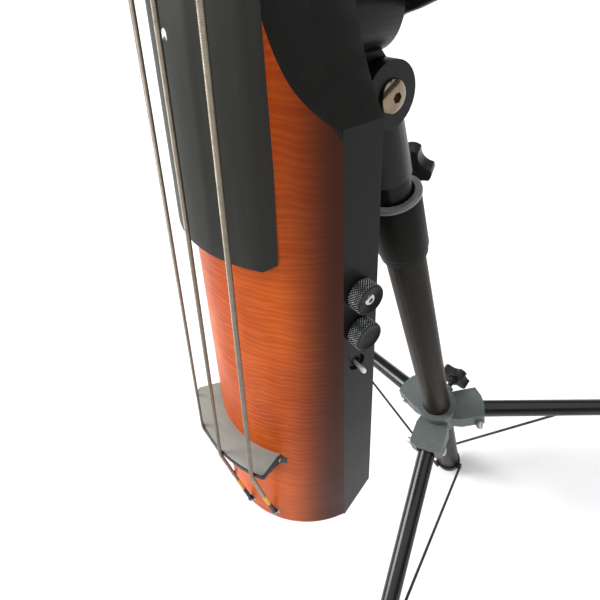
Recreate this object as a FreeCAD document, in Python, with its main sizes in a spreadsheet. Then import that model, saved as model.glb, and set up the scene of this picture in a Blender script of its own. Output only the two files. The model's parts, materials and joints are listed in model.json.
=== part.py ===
import FreeCAD, Part
import math
import os
import re
import Sketcher
from FreeCAD import Placement, Rotation, Vector

# Slim four-string electric upright bass on a folding tripod stand.
#
# Two local frames are used below, both in millimetres:
#   stand       Z up the column, X to the player's right-hand side, Z = 0 where the
#               instrument's bottom plane meets the column axis
#   instrument  x across the body (controls on the +x side), y from the front edge of
#               the sides towards the back, z up the body from its bottom end
# The finished part has +Z up and its origin on the floor, in the middle of its box.

os.makedirs("parts", exist_ok=True)
doc = FreeCAD.newDocument("upright_bass")

# ---------------------------------------------------------------- driving sizes
SIZES = [
    # placing
    ("column_x", 98.69), ("column_y", 23.82), ("floor_drop", 322.0),
    ("lean_angle", 18.8), ("body_to_column", 174.5),
    # body
    ("body_half", 67.7), ("body_taper", 0.009), ("side_depth", 25.9), ("depth_taper", 0.015),
    ("arch_height", 55.1), ("arch_taper", 0.072), ("shoulder_z", 304.4), ("shoulder_half", 65.0),
    ("heel_z", 372.0), ("heel_half", 43.6), ("chamfer_rise", 27.0),
    # bridge, strings and fingerboard
    ("bridge_low", 79.6), ("bridge_top", 88.6), ("bridge_radius", 93.8), ("bridge_centre", 26.6),
    ("bridge_half", 48.0), ("string_space", 28.0), ("nut_space", 10.5),
    ("scale_length", 1067.0), ("nut_crown", 35.6), ("nut_width", 6.0),
    ("board_end", 242.8), ("board_half", 46.15), ("board_half_nut", 22.2),
    ("board_side", 8.5), ("board_radius", 88.0), ("board_low", -23.8), ("board_slope", 0.0785),
    ("string_e", 1.45), ("string_a", 1.2), ("string_d", 0.9), ("string_g", 0.7),
    # controls
    ("knob_radius", 8.66), ("knob_height", 8.2), ("control_y", 9.85),
    ("volume_z", 221.8), ("tone_z", 196.8), ("toggle_z", 170.7), ("shaft_radius", 3.0),
    ("running_fit", 0.06),
    # headstock and tuners
    ("head_tilt", 11.0), ("head_length", 178.0), ("head_thick", 20.0), ("post_radius", 5.0),
    ("key_shaft", 3.0), ("worm_radius", 4.0), ("gear_radius", 9.5), ("gear_gap", 0.5),
    # mount on the back
    ("housing_radius", 21.5), ("housing_z", 334.0), ("housing_front", 28.0), ("housing_rear", 75.0),
    ("axle_radius", 12.0), ("plate_radius", 29.0),
    # tilt knuckle
    ("pivot_t", 309.0), ("tongue_half", 7.0), ("cheek_out", 17.0), ("knuckle_radius", 18.0),
    ("bolt_radius", 4.0), ("socket_radius", 15.8), ("socket_low", 251.0), ("joint_gap", 0.35),
    # column
    ("mast_radius", 14.0), ("mast_wall", 2.0), ("mast_top", 284.0), ("mast_low", -120.0),
    ("column_radius", 15.8), ("column_bore", 14.35), ("column_top", 214.0), ("column_low", -308.0),
    ("collar_radius", 19.6), ("collar_low", 177.0), ("collar_top", 233.0), ("ring_radius", 20.6),
    ("collar_knob_t", 225.4), ("lever_angle", 24.0), ("collar_knob_angle", 118.0), ("hub_knob_t", -103.0),
    ("hub_knob_angle", 101.0), ("wing_radius", 17.6), ("wing_thick", 11.0),
    # tripod
    ("hub_bore", 16.15), ("hub_ring", 21.5), ("hub_top", -98.0), ("arm_top", -114.0),
    ("arm_low", -138.0), ("arm_half", 19.0), ("arm_reach", 51.0), ("arm_skin", 4.0),
    ("slot_half", 10.9), ("leg_pivot_r", 44.0), ("leg_pivot_t", -133.0), ("leg_radius", 10.2),
    ("leg_slope", 22.0), ("leg_length", 467.82), ("first_leg", 54.3), ("foot_radius", 13.0),
    ("brace_at", 198.0), ("brace_radius", 1.75), ("brace_low_t", -300.0), ("brace_low_r", 5.0),
    ("brace_low_side", 19.5), ("brace_high_side", 14.0),
]
sheet = doc.addObject("Spreadsheet::Sheet", "Sizes")
for row, (alias, number) in enumerate(SIZES, start=1):
    sheet.set("A%d" % row, alias)
    sheet.set("B%d" % row, str(number))
    sheet.setAlias("B%d" % row, alias)
doc.recompute()
ALIASES = {alias for alias, _ in SIZES}


def size(alias):
    """The number that a cell of the sheet holds."""
    return float(sheet.get(alias))


def bind(obj, **formulas):
    """Bind properties to formulas of the sheet's aliases."""
    for prop, formula in formulas.items():
        if isinstance(formula, str):
            text = re.sub(r"[A-Za-z_]+\w*", lambda m: "Sizes." + m.group(0)
                          if m.group(0) in ALIASES else m.group(0), formula)
            obj.setExpression(prop, text)
        else:
            setattr(obj, prop, formula)
    return obj


# ---------------------------------------------------------------- frames
X, Y, Z = Vector(1, 0, 0), Vector(0, 1, 0), Vector(0, 0, 1)
LEAN = math.radians(size("lean_angle"))
STAND = Placement(Vector(size("column_x"), size("column_y"), size("floor_drop")), Rotation())
INSTRUMENT = STAND.multiply(Placement(
    Vector(0, -size("body_to_column") * math.cos(LEAN), size("body_to_column") * math.sin(LEAN)),
    Rotation(X, -size("lean_angle"))))


def turned(direction, roll=0.0):
    """Rotation that carries +Z onto a direction, after a roll about +Z."""
    return Rotation(Z, direction).multiply(Rotation(Z, roll))


def spot(at, direction=Z, roll=0.0, frame=STAND):
    """Placement in a frame with +Z along a direction."""
    return frame.multiply(Placement(Vector(*at), turned(direction, roll)))


# ---------------------------------------------------------------- object helpers
parts = []          # finished sub-parts, in the order they are made


def finish(obj, name):
    """Give a finished sub-part its own name and keep it."""
    obj.Label = name
    parts.append(obj)
    return obj


def cylinder(name, radius, height, place):
    obj = doc.addObject("Part::Cylinder", name)
    bind(obj, Radius=radius, Height=height)
    obj.Placement = place
    return obj


def box(name, length, width, height, place):
    obj = doc.addObject("Part::Box", name)
    bind(obj, Length=length, Width=width, Height=height)
    obj.Placement = place
    return obj


def cone(name, low, high, height, place):
    obj = doc.addObject("Part::Cone", name)
    bind(obj, Radius1=low, Radius2=high, Height=height)
    obj.Placement = place
    return obj


def sphere(name, radius, place):
    obj = doc.addObject("Part::Sphere", name)
    bind(obj, Radius=radius)
    obj.Placement = place
    return obj


def fuse(name, shapes):
    obj = doc.addObject("Part::MultiFuse", name)
    obj.Shapes = list(shapes)
    return obj


def common(name, shapes):
    obj = doc.addObject("Part::MultiCommon", name)
    obj.Shapes = list(shapes)
    return obj


def cut(name, base, tools):
    tools = list(tools)
    obj = doc.addObject("Part::Cut", name)
    obj.Base = base
    obj.Tool = tools[0] if len(tools) == 1 else fuse(name + "_tools", tools)
    return obj


def group(name, shapes):
    """Identical loose pieces that share one node."""
    obj = doc.addObject("Part::Compound", name)
    obj.Links = list(shapes)
    return obj


def plain(name, shape, place):
    obj = doc.addObject("Part::Feature", name)
    obj.Shape = shape
    obj.Placement = place
    return obj


def new_body(name, place):
    body = doc.addObject("PartDesign::Body", name)
    body.Placement = place
    return body


def sketch_on(body, role, name):
    plane = next(f for f in body.Origin.OriginFeatures if f.Role == role)
    sketch = body.newObject("Sketcher::SketchObject", name)
    sketch.AttachmentSupport = (plane, [""])
    sketch.MapMode = "FlatFace"
    return sketch


def draw_circle(sketch, x, y, radius):
    """A circle whose radius is bound to the sheet."""
    start = size(radius) if radius in ALIASES else 5.0
    at = sketch.addGeometry(Part.Circle(Vector(x, y, 0), Z, start), False)
    number = sketch.addConstraint(Sketcher.Constraint("Radius", at, start))
    bind(sketch, **{"Constraints[%d]" % number: radius})
    return at


def draw_outline(sketch, edges):
    """Closed outline from edges in order, joined where their ends meet."""
    ids = [sketch.addGeometry(edge, False) for edge in edges]
    for k, this in enumerate(edges):
        other = (k + 1) % len(edges)
        ends = [(this.StartPoint, 1), (this.EndPoint, 2)]
        next_ends = [(edges[other].StartPoint, 1), (edges[other].EndPoint, 2)]
        _, mine, its = min(((p - q).Length, i, j) for p, i in ends for q, j in next_ends)
        sketch.addConstraint(Sketcher.Constraint("Coincident", ids[k], mine, ids[other], its))
    return ids


def arc(a, b, c):
    """Counter-clockwise arc through three points given as (x, y)."""
    a, b, c = [Vector(p[0], p[1], 0) for p in (a, b, c)]
    if (b - a).cross(c - b).z < 0:
        a, c = c, a
    return Part.Arc(a, b, c)


def lines(points):
    """Line segments round a closed run of points."""
    pts = [Vector(x, y, 0) for x, y in points]
    return [Part.LineSegment(a, b) for a, b in zip(pts, pts[1:] + pts[:1])]


def pad(body, sketch, length, name, **options):
    feature = body.newObject("PartDesign::Pad", name)
    feature.Profile = sketch
    bind(feature, Length=length, **options)
    return feature


def pocket(body, sketch, length, name, **options):
    feature = body.newObject("PartDesign::Pocket", name)
    feature.Profile = sketch
    bind(feature, Length=length, **options)
    return feature


def tube(name, outer, inner, length, place):
    """Round tube padded from a sketch of two circles."""
    body = new_body(name, place)
    sketch = sketch_on(body, "XY_Plane", name + "_ring")
    draw_circle(sketch, 0, 0, outer)
    if inner is not None:
        draw_circle(sketch, 0, 0, inner)
    pad(body, sketch, length, name + "_pad")
    return body


def turned_body(name, profile, place):
    """Body of revolution about its own Z from (radius, height) points."""
    body = new_body(name, place)
    sketch = sketch_on(body, "XZ_Plane", name + "_profile")
    draw_outline(sketch, lines(profile))
    turn = body.newObject("PartDesign::Revolution", name + "_turn")
    turn.Profile = sketch
    turn.ReferenceAxis = (sketch, ["V_Axis"])
    turn.Angle = 360
    return body


# ---------------------------------------------------------------- body
BODY_TOP_Z = size("heel_z")


def half_width(z):
    return size("body_half") - size("body_taper") * z


def arch_at(z, x):
    """Front surface of the arched top: y at a height and a distance from the middle."""
    a, h = half_width(z), size("arch_height") - size("arch_taper") * z
    radius = (a * a + h * h) / (2 * h)
    return radius - h - math.sqrt(radius * radius - x * x)


def outline_edges():
    """Front view of the body: straight sides, concave shoulders and the heel."""
    sh_x, sh_z = size("shoulder_half"), size("shoulder_z")
    he_x, he_z = size("heel_half"), size("heel_z")
    rise, run = he_z - sh_z, sh_x - he_x
    radius = (rise * rise + run * run) / (2 * run)
    mid_z = sh_z + rise * 0.45
    mid_x = he_x + radius - math.sqrt(radius * radius - (he_z - mid_z) ** 2)
    a = size("body_half")
    return [
        Part.LineSegment(Vector(-a, 0, 0), Vector(a, 0, 0)),
        Part.LineSegment(Vector(a, 0, 0), Vector(sh_x, sh_z, 0)),
        arc((sh_x, sh_z), (mid_x, mid_z), (he_x, he_z)),
        Part.LineSegment(Vector(he_x, he_z, 0), Vector(-he_x, he_z, 0)),
        arc((-he_x, he_z), (-mid_x, mid_z), (-sh_x, sh_z)),
        Part.LineSegment(Vector(-sh_x, sh_z, 0), Vector(-a, 0, 0)),
    ]


def slab(name, low_y, high_y):
    """The body's outline as a prism between two depths."""
    body = new_body(name, INSTRUMENT.multiply(Placement(Vector(0, high_y, 0), Rotation())))
    sketch = sketch_on(body, "XZ_Plane", name + "_outline")
    draw_outline(sketch, outline_edges())
    pad(body, sketch, high_y - low_y, name + "_pad")
    return body


def back_taper(name):
    """Waste behind the tapering back and under the bottom chamfer."""
    depth, taper = size("side_depth"), size("depth_taper")
    rise, top = size("chamfer_rise"), BODY_TOP_Z
    points = [(0.6, 0), (depth - taper * rise, rise), (depth - taper * top, top),
              (depth - taper * top, top + 5), (depth + 20, top + 5), (depth + 20, -5), (0.6, -5)]
    wire = Part.makePolygon([Vector(-100, y, z) for y, z in points + points[:1]])
    return plain(name, Part.Face(wire).extrude(Vector(200, 0, 0)), INSTRUMENT)


def side_x(z):
    return half_width(z)


core_tools = [back_taper("core_waste")]
core_tools.append(box("cavity", 36.0, 30.0, 104.0, spot((22.5, 3.0, 146.0), frame=INSTRUMENT)))
core_tools.append(box("cover_recess", 42.0, 12.0, 112.0, INSTRUMENT.multiply(Placement(
    Vector(18.5, size("side_depth") - 5.3, 142.0), Rotation(X, math.degrees(math.atan(0.015)))))))
for name, z in (("volume", size("volume_z")), ("tone", size("tone_z"))):
    core_tools.append(cylinder(name + "_hole", 3.9, 16.0,
                               spot((54, size("control_y"), z), X, frame=INSTRUMENT)))
core_tools.append(cylinder("toggle_hole", 3.2, 16.0,
                           spot((54, size("control_y"), size("toggle_z")), X, frame=INSTRUMENT)))
core_tools.append(cylinder("toggle_sink", 5.6, 6.0, spot(
    (side_x(170) - 3.2, size("control_y"), size("toggle_z")), X, frame=INSTRUMENT)))
MOUNT_SCREWS = [(sx * 19.0, size("housing_z") + sz * 15.0) for sx in (-1, 1) for sz in (-1, 1)]
for i, (x, z) in enumerate(MOUNT_SCREWS):
    core_tools.append(cylinder("mount_pilot_%d" % i, 2.0, 20.0,
                               spot((x, 8.0, z), Y, frame=INSTRUMENT)))
COVER_SCREWS = [(x, z) for x in (20.8, 58.2) for z in (145.0, 251.0)]
for i, (x, z) in enumerate(COVER_SCREWS):
    core_tools.append(cylinder("cover_pilot_%d" % i, 1.2, 20.0,
                               spot((x, 10.0, z), Y, frame=INSTRUMENT)))
finish(cut("body_core", slab("core_blank", 0.0, size("side_depth")), core_tools), "body_core")


# ---------------------------------------------------------------- fingerboard
def board_half(z):
    """Half the width of the fingerboard at a height."""
    length = size("bridge_top") + size("scale_length") - size("board_end")
    share = (z - size("board_end")) / length
    return size("board_half") + (size("board_half_nut") - size("board_half")) * share


def board_floor(z):
    """Depth of the joint between neck and fingerboard."""
    return size("board_low") + size("board_slope") * (z - size("board_end"))


def board_section(z, grow=0.0):
    half, side = board_half(z) + grow, size("board_side")
    radius = size("board_radius")
    low = board_floor(z)
    edge = board_floor(z) - side - grow
    crown = edge - (radius - math.sqrt(radius * radius - half * half))
    pts = [Vector(-half, low, z), Vector(half, low, z), Vector(half, edge, z), Vector(-half, edge, z)]
    return Part.Wire([
        Part.LineSegment(pts[0], pts[1]).toShape(), Part.LineSegment(pts[1], pts[2]).toShape(),
        Part.Arc(pts[2], Vector(0, crown, z), pts[3]).toShape(),
        Part.LineSegment(pts[3], pts[0]).toShape()])


NUT_Z = size("bridge_top") + size("scale_length")
board_solid = Part.makeLoft([board_section(size("board_end")), board_section(NUT_Z)], True, True)
DOTS = [size("board_end") + 92.0] + [NUT_Z - size("scale_length") * (1 - 2 ** (-n / 12.0))
                                     for n in (3, 5, 7, 9, 12, 17, 19)]


def board_crown(z):
    """Depth of the fingerboard's crown at a height."""
    half, radius = board_half(z), size("board_radius")
    return board_floor(z) - size("board_side") - (radius - math.sqrt(radius ** 2 - half ** 2))


def dot(z, radius):
    slope = Vector(0, -1, size("board_slope") * 0.9)
    return Part.makeCylinder(radius, 2.0, Vector(0, board_crown(z) + 1.6, z), slope)


dot_holes = Part.makeCompound([dot(z, 2.6) for z in DOTS])
board = plain("fingerboard", board_solid.cut(dot_holes), INSTRUMENT)
finish(board, "fingerboard")
dots = [dot(z, 2.6).common(board_solid) for z in DOTS]
finish(plain("position_dots", Part.makeCompound([d.Solids[0] for d in dots]), INSTRUMENT),
       "position_dots")


# ---------------------------------------------------------------- arched top
def arch_section(z):
    a, h = half_width(z), size("arch_height") - size("arch_taper") * z
    left, right = Vector(-a, 0, z), Vector(a, 0, z)
    return Part.Wire([Part.LineSegment(left, right).toShape(),
                      Part.Arc(right, Vector(0, -h, z), left).toShape()])


arch = plain("arch_blank", Part.makeLoft([arch_section(0), arch_section(BODY_TOP_Z)], True, True),
             INSTRUMENT)
board_bed = plain("board_bed", Part.makeLoft(
    [board_section(size("board_end"), 0.05), board_section(BODY_TOP_Z + 20, 0.05)], True, True),
    INSTRUMENT)
ANCHORS = [(35.5, 10.6), (13.7, 7.9), (-13.7, 7.9), (-35.5, 10.6)]


def anchor_normal(x, z):
    """Outward direction of the arch at a string anchor."""
    step = 0.5
    slope = (arch_at(z, abs(x) + step) - arch_at(z, abs(x) - step)) / (2 * step)
    return Vector(math.copysign(slope, x), -1, 0).normalize()


def anchor_point(x, z, lift=0.0):
    return Vector(x, arch_at(z, abs(x)), z) + anchor_normal(x, z) * lift


top_tools = [board_bed]
for i, (x, z) in enumerate(ANCHORS):
    start = anchor_point(x, z, -7.0)
    top_tools.append(cylinder("anchor_hole_%d" % i, 4.2, 12.0,
                              spot(start, anchor_normal(x, z), frame=INSTRUMENT)))
top = cut("body_top", common("arch_inside", [arch, slab("top_blank", -60.0, 0.0)]), top_tools)
finish(top, "body_top")

ferrules = []
for i, (x, z) in enumerate(ANCHORS):
    outer = cylinder("ferrule_%d" % i, 4.2, 7.0,
                     spot(anchor_point(x, z, -7.0), anchor_normal(x, z), frame=INSTRUMENT))
    bore = cylinder("ferrule_bore_%d" % i, 2.7, 6.0,
                    spot(anchor_point(x, z, -4.5), anchor_normal(x, z), frame=INSTRUMENT))
    ferrules.append(cut("ferrule_cup_%d" % i, outer, [bore]))
finish(group("string_ferrules", ferrules), "string_ferrules")


# ---------------------------------------------------------------- neck and headstock
def neck_section(z, depth, square):
    """Flat front, rounded back; 'square' above 2 fills out the corners."""
    half, front = board_half(z) + (0.6 if z < BODY_TOP_Z + 5 else 0.0), board_floor(z) + 0.05
    side = depth * 0.16
    pts = []
    for step in range(0, 17):
        angle = math.pi * step / 16
        c, s = math.cos(angle), math.sin(angle)
        px = half * math.copysign(abs(c) ** (2.0 / square), c)
        pts.append(Vector(px, front + side + (depth - side) * abs(s) ** (2.0 / square), z))
    curve = Part.BSplineCurve()
    curve.interpolate(pts)
    a, b = Vector(half, front, z), Vector(-half, front, z)
    return Part.Wire([Part.LineSegment(b, a).toShape(), Part.LineSegment(a, pts[0]).toShape(),
                      curve.toShape(), Part.LineSegment(pts[-1], b).toShape()])


heel_back = size("side_depth") - size("depth_taper") * BODY_TOP_Z
heel_depth = heel_back - board_floor(BODY_TOP_Z)
NECK = [(BODY_TOP_Z, heel_depth, 5.0), (BODY_TOP_Z + 60, 32.0, 3.4), (BODY_TOP_Z + 140, 28.5, 2.4),
        (BODY_TOP_Z + 400, 26.0, 2.2), (NUT_Z - 60, 24.0, 2.2), (NUT_Z + 8, 23.0, 2.3)]
neck_blank = plain("neck_blank", Part.makeLoft([neck_section(*row) for row in NECK], True, False),
                   INSTRUMENT)

HEAD = INSTRUMENT.multiply(Placement(
    Vector(0, board_floor(NUT_Z), NUT_Z), Rotation(X, -size("head_tilt") - 4.49)))
head = new_body("headstock_blank", HEAD.multiply(Placement(Vector(0, size("head_thick"), 0),
                                                           Rotation())))
head_sketch = sketch_on(head, "XZ_Plane", "headstock_outline")
head_len = size("head_length")
draw_outline(head_sketch, [
    Part.LineSegment(Vector(-22, 0.5, 0), Vector(22, 0.5, 0)),
    Part.LineSegment(Vector(22, 0.5, 0), Vector(22.5, 6, 0)),
    arc((22.5, 6), (29, 22), (37, 34)),
    Part.LineSegment(Vector(37, 34, 0), Vector(30, head_len - 14, 0)),
    arc((30, head_len - 14), (0, head_len), (-30, head_len - 14)),
    Part.LineSegment(Vector(-30, head_len - 14, 0), Vector(-37, 34, 0)),
    arc((-37, 34), (-29, 22), (-22.5, 6)),
    Part.LineSegment(Vector(-22.5, 6, 0), Vector(-22, 0.5, 0))])
pad(head, head_sketch, "head_thick", "headstock_pad")
# posts in playing order, thickest string first: low strings go to the lower posts
POSTS = {"e": (19.0, 52.0), "a": (18.0, 118.0), "d": (-18.0, 118.0), "g": (-19.0, 52.0)}
neck_tools = [cylinder("post_hole_" + k, "post_radius + running_fit", 40.0,
                       spot((x, -5, z), Y, frame=HEAD)) for k, (x, z) in POSTS.items()]
rod_start, rod_end = BODY_TOP_Z + 30, NUT_Z - 14
rod_slope = Vector(0, size("board_slope"), 1).normalize()
rod_len = rod_end - rod_start
neck_tools.append(box("rod_slot", 7.0, 9.0, rod_len, INSTRUMENT.multiply(Placement(
    Vector(-3.5, board_floor(rod_start), rod_start), Rotation(X, -4.49)))))
finish(cut("neck", fuse("neck_whole", [neck_blank, head]), neck_tools), "neck")
finish(cylinder("truss_rod", 3.2, rod_len - 8, INSTRUMENT.multiply(Placement(
    Vector(0, board_floor(rod_start) + 4.6, rod_start + 4), turned(rod_slope)))), "truss_rod")

# nut: a bar with a rounded top across the end of the fingerboard
nut = new_body("nut_body", INSTRUMENT.multiply(Placement(Vector(0, 0, NUT_Z), Rotation())))
nut_sketch = sketch_on(nut, "XY_Plane", "nut_outline")
nut_low, nut_top, nut_half = board_floor(NUT_Z), size("nut_crown"), size("board_half_nut")
nut_drop = size("board_radius") - math.sqrt(size("board_radius") ** 2 - nut_half ** 2)
draw_outline(nut_sketch, [
    Part.LineSegment(Vector(-nut_half, nut_low, 0), Vector(nut_half, nut_low, 0)),
    Part.LineSegment(Vector(nut_half, nut_low, 0), Vector(nut_half, nut_top + nut_drop, 0)),
    arc((nut_half, nut_top + nut_drop), (0, nut_top), (-nut_half, nut_top + nut_drop)),
    Part.LineSegment(Vector(-nut_half, nut_top + nut_drop, 0), Vector(-nut_half, nut_low, 0))])
pad(nut, nut_sketch, "nut_width", "nut_pad")
finish(nut, "nut")


# ---------------------------------------------------------------- bridge
def bridge_crown(x):
    radius = size("bridge_radius")
    return size("bridge_centre") - math.sqrt(radius * radius - x * x)


bridge_body = new_body("bridge_blank", INSTRUMENT.multiply(
    Placement(Vector(0, 0, size("bridge_low")), Rotation())))
bridge_sketch = sketch_on(bridge_body, "XY_Plane", "bridge_outline")
half_b, foot_x, foot_y = size("bridge_half"), 44.9, -26.0
crown_y, mid_y = bridge_crown(half_b), bridge_crown(0)
draw_outline(bridge_sketch, [
    Part.LineSegment(Vector(-foot_x, foot_y, 0), Vector(foot_x, foot_y, 0)),
    Part.LineSegment(Vector(foot_x, foot_y, 0), Vector(half_b, crown_y, 0)),
    arc((half_b, crown_y), (0, mid_y), (-half_b, crown_y)),
    Part.LineSegment(Vector(-half_b, crown_y, 0), Vector(-foot_x, foot_y, 0))])
pad(bridge_body, bridge_sketch, "bridge_top - bridge_low", "bridge_pad")
STRING_X = {"e": 1.5, "a": 0.5, "d": -0.5, "g": -1.5}
bridge_tools = [plain("arch_copy", Part.makeLoft([arch_section(0), arch_section(BODY_TOP_Z)],
                                                 True, True), INSTRUMENT)]
elements = []
for key, share in STRING_X.items():
    x, z = share * (size("string_space") - 2.0), (size("bridge_low") + size("bridge_top")) / 2
    place = spot(anchor_point(x, z, 2.2), anchor_normal(x, z) * -1, frame=INSTRUMENT)
    bridge_tools.append(cylinder("element_hole_" + key, 3.4, 8.0, place))
    elements.append(cylinder("element_" + key, 3.35, 1.6, place))
finish(cut("bridge", bridge_body, bridge_tools), "bridge")
finish(group("piezo_elements", elements), "piezo_elements")


# ---------------------------------------------------------------- strings
BALL_END = 2.3      # the ball that holds a string in its cup
CORNER = 1.03       # ball corners stand a little proud of the wire


def string_path(key):
    """Points of one string from its anchor to just short of its tuner post."""
    radius = size("string_" + key)
    share = STRING_X[key]
    x_b, x_n = share * size("string_space"), share * size("nut_space")
    seat = radius * CORNER + 0.05
    y_b = size("bridge_centre") - math.sqrt((size("bridge_radius") + seat) ** 2 - x_b ** 2)
    crown = size("board_radius")
    y_n = size("nut_crown") + crown - math.sqrt((crown + seat) ** 2 - x_n ** 2)
    ax, az = ANCHORS[list(STRING_X).index(key)]
    post_x, post_z = POSTS[key]
    side = -1.0 if post_x > 0 else 1.0
    near = INSTRUMENT.inverse().multVec(HEAD.multVec(Vector(
        post_x + side * (size("post_radius") + 2.8 * radius + 0.4), -5.0 - radius, post_z - 3.0)))
    return radius, [anchor_point(ax, az, 1.4), Vector(x_b, y_b, size("bridge_low")),
                    Vector(x_b, y_b, size("bridge_top")), Vector(x_n, y_n, NUT_Z),
                    Vector(x_n, y_n, NUT_Z + size("nut_width")), near]


def round_wire(points, radius):
    """Straight runs with ball corners, and the ball that holds the string in its cup."""
    shape = None
    for a, b in zip(points, points[1:]):
        run = Part.makeCylinder(radius, (b - a).Length, a, b - a)
        shape = run if shape is None else shape.fuse(run)
    for corner in points[1:-1]:
        shape = shape.fuse(Part.makeSphere(radius * CORNER, corner))
    return shape.fuse(Part.makeSphere(BALL_END, points[0]))


for key in STRING_X:
    radius, path = string_path(key)
    finish(plain("string_" + key + "_wire", round_wire(path, radius), INSTRUMENT), "string_" + key)

# ---------------------------------------------------------------- controls
KNOB_GAP = 1.0


def knob(name, z, face):
    """Knurled knob with its shaft; the grooves are a polar pattern."""
    place = spot((side_x(z) + KNOB_GAP, size("control_y"), z), X, frame=INSTRUMENT)
    body = new_body(name + "_cap", place)
    sketch = sketch_on(body, "XY_Plane", name + "_disc")
    draw_circle(sketch, 0, 0, "knob_radius")
    pad(body, sketch, "knob_height", name + "_pad")
    flute = sketch_on(body, "XY_Plane", name + "_flute")
    draw_circle(flute, size("knob_radius") + 0.35, 0, "knob_radius * 0.08")
    groove = pocket(body, flute, "knob_height", name + "_groove", Reversed=True)
    pattern = body.newObject("PartDesign::PolarPattern", name + "_grooves")
    pattern.Originals = [groove]
    pattern.Axis = (flute, ["N_Axis"])
    pattern.Angle = 360
    pattern.Occurrences = 30
    body.Tip = pattern
    dish = cylinder(name + "_dish", 5.4, 2.0, spot(
        (side_x(z) + KNOB_GAP + size("knob_height") - face, size("control_y"), z), X,
        frame=INSTRUMENT))
    shaft = cylinder(name + "_shaft", "shaft_radius", 16.0,
                     spot((side_x(z) + KNOB_GAP - 14.5, size("control_y"), z), X, frame=INSTRUMENT))
    return fuse(name + "_whole", [cut(name + "_faced", body, [dish]), shaft])


finish(knob("volume_knob", size("volume_z"), 0.9), "volume_knob")
finish(knob("tone_knob", size("tone_z"), 0.5), "tone_knob")


def pot(name, z):
    """Potentiometer can with a threaded bush through the wall and a nut outside."""
    x = side_x(z)
    can = cylinder(name + "_can", 6.7, 9.5, spot((58.5 - 9.5, size("control_y"), z), X,
                                                frame=INSTRUMENT))
    bush = cylinder(name + "_bush", 3.8, x + 0.6 - 58.5, spot((58.5, size("control_y"), z), X,
                                                            frame=INSTRUMENT))
    bore = cylinder(name + "_bore", "shaft_radius + running_fit", 20.0,
                    spot((x - 14.0, size("control_y"), z), X, frame=INSTRUMENT))
    lug = box(name + "_lugs", 3.0, 3.0, 10.0, spot((50.5, size("control_y") + 5.5, z - 5), Z,
                                                   frame=INSTRUMENT))
    return cut(name, fuse(name + "_whole", [can, bush, lug]), [bore])


finish(pot("volume_pot", size("volume_z")), "volume_pot")
finish(pot("tone_pot", size("tone_z")), "tone_pot")

# toggle switch: a square can inside, a bush in the counterbore, and the lever
TOG_Z, TOG_X = size("toggle_z"), side_x(170)
can = box("toggle_can", 14.0, 9.0, 11.0, spot((44.5, size("control_y") - 4.5, TOG_Z - 5.5),
                                             frame=INSTRUMENT))
bush = cylinder("toggle_bush", 3.1, TOG_X - 1.2 - 58.5, spot((58.5, size("control_y"), TOG_Z), X,
                                                           frame=INSTRUMENT))
ring = cylinder("toggle_ring", 4.6, 1.2, spot((TOG_X - 3.1, size("control_y"), TOG_Z), X,
                                             frame=INSTRUMENT))
throat = cone("toggle_throat", 1.75, 2.9, 10.5, spot((TOG_X - 11.6, size("control_y"), TOG_Z), X,
                                                   frame=INSTRUMENT))
finish(cut("toggle_switch", fuse("toggle_parts", [can, bush, ring]), [throat]), "toggle_switch")
lever_dir = Vector(math.cos(math.radians(9)), 0, -math.sin(math.radians(9)))
lever_at = Vector(TOG_X - 9.4, size("control_y"), TOG_Z)
finish(fuse("toggle_arm", [
    cone("toggle_stick", 0.95, 1.45, 15.0, spot(lever_at, lever_dir, frame=INSTRUMENT)),
    sphere("toggle_tip", 1.75, spot(lever_at + lever_dir * 15.2, frame=INSTRUMENT))]),
    "toggle_lever")

# cover plate on the back with the output jack
COVER = INSTRUMENT.multiply(Placement(Vector(19.0, size("side_depth") - 5.15, 142.5),
                                      Rotation(X, math.degrees(math.atan(0.015)))))
plate = box("cover_plate", 41.0, 2.0, 111.0, COVER)
cover_holes = [cylinder("cover_hole_%d" % i, 1.6, 12.0, spot((x, 15.0, z), Y, frame=INSTRUMENT))
               for i, (x, z) in enumerate(COVER_SCREWS)]
JACK = (40.5, 158.0)
cover_holes.append(cylinder("jack_hole", 4.9, 12.0, spot((JACK[0], 15.0, JACK[1]), Y,
                                                        frame=INSTRUMENT)))
finish(cut("control_cover", plate, cover_holes), "control_cover")


def screw(name, at, direction, shank, head, length, frame=INSTRUMENT):
    """Screw with a flat round head; its head starts at 'at' and faces 'direction'."""
    top = cylinder(name + "_head", head, 1.1, spot(at, direction, frame=frame))
    pin = cylinder(name + "_pin", shank, length,
                   spot(Vector(*at) - direction * length, direction, frame=frame))
    return fuse(name, [top, pin])


def cover_face(z):
    """Outer face of the cover, which leans with the tapering back."""
    return size("side_depth") - 3.15 - (z - 142.5) * size("depth_taper")


# heads sit on the outer face of the cover, which tapers with the back
finish(group("cover_screws", [screw("cover_screw_%d" % i, (x, cover_face(z) + 0.05, z), Y,
                                    1.1, 2.2, 9.0) for i, (x, z) in enumerate(COVER_SCREWS)]),
       "cover_screws")
jack_face = cover_face(JACK[1])
jack_out = cylinder("jack_barrel", 4.8, 15.5, spot((JACK[0], jack_face - 15.0, JACK[1]), Y,
                                                  frame=INSTRUMENT))
jack_nut = cylinder("jack_nut", 7.0, 1.6, spot((JACK[0], jack_face + 0.12, JACK[1]), Y,
                                              frame=INSTRUMENT))
jack_bore = cylinder("jack_bore", 3.2, 40.0, spot((JACK[0], jack_face - 14.0, JACK[1]), Y,
                                                 frame=INSTRUMENT))
finish(cut("output_jack", fuse("jack_whole", [jack_out, jack_nut]), [jack_bore]), "output_jack")
finish(box("preamp_board", 1.6, 14.0, 66.0, spot((26.0, 4.5, 178.0), frame=INSTRUMENT)),
       "preamp_board")

# ---------------------------------------------------------------- tuners
HEAD_BACK = size("head_thick")


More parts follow.
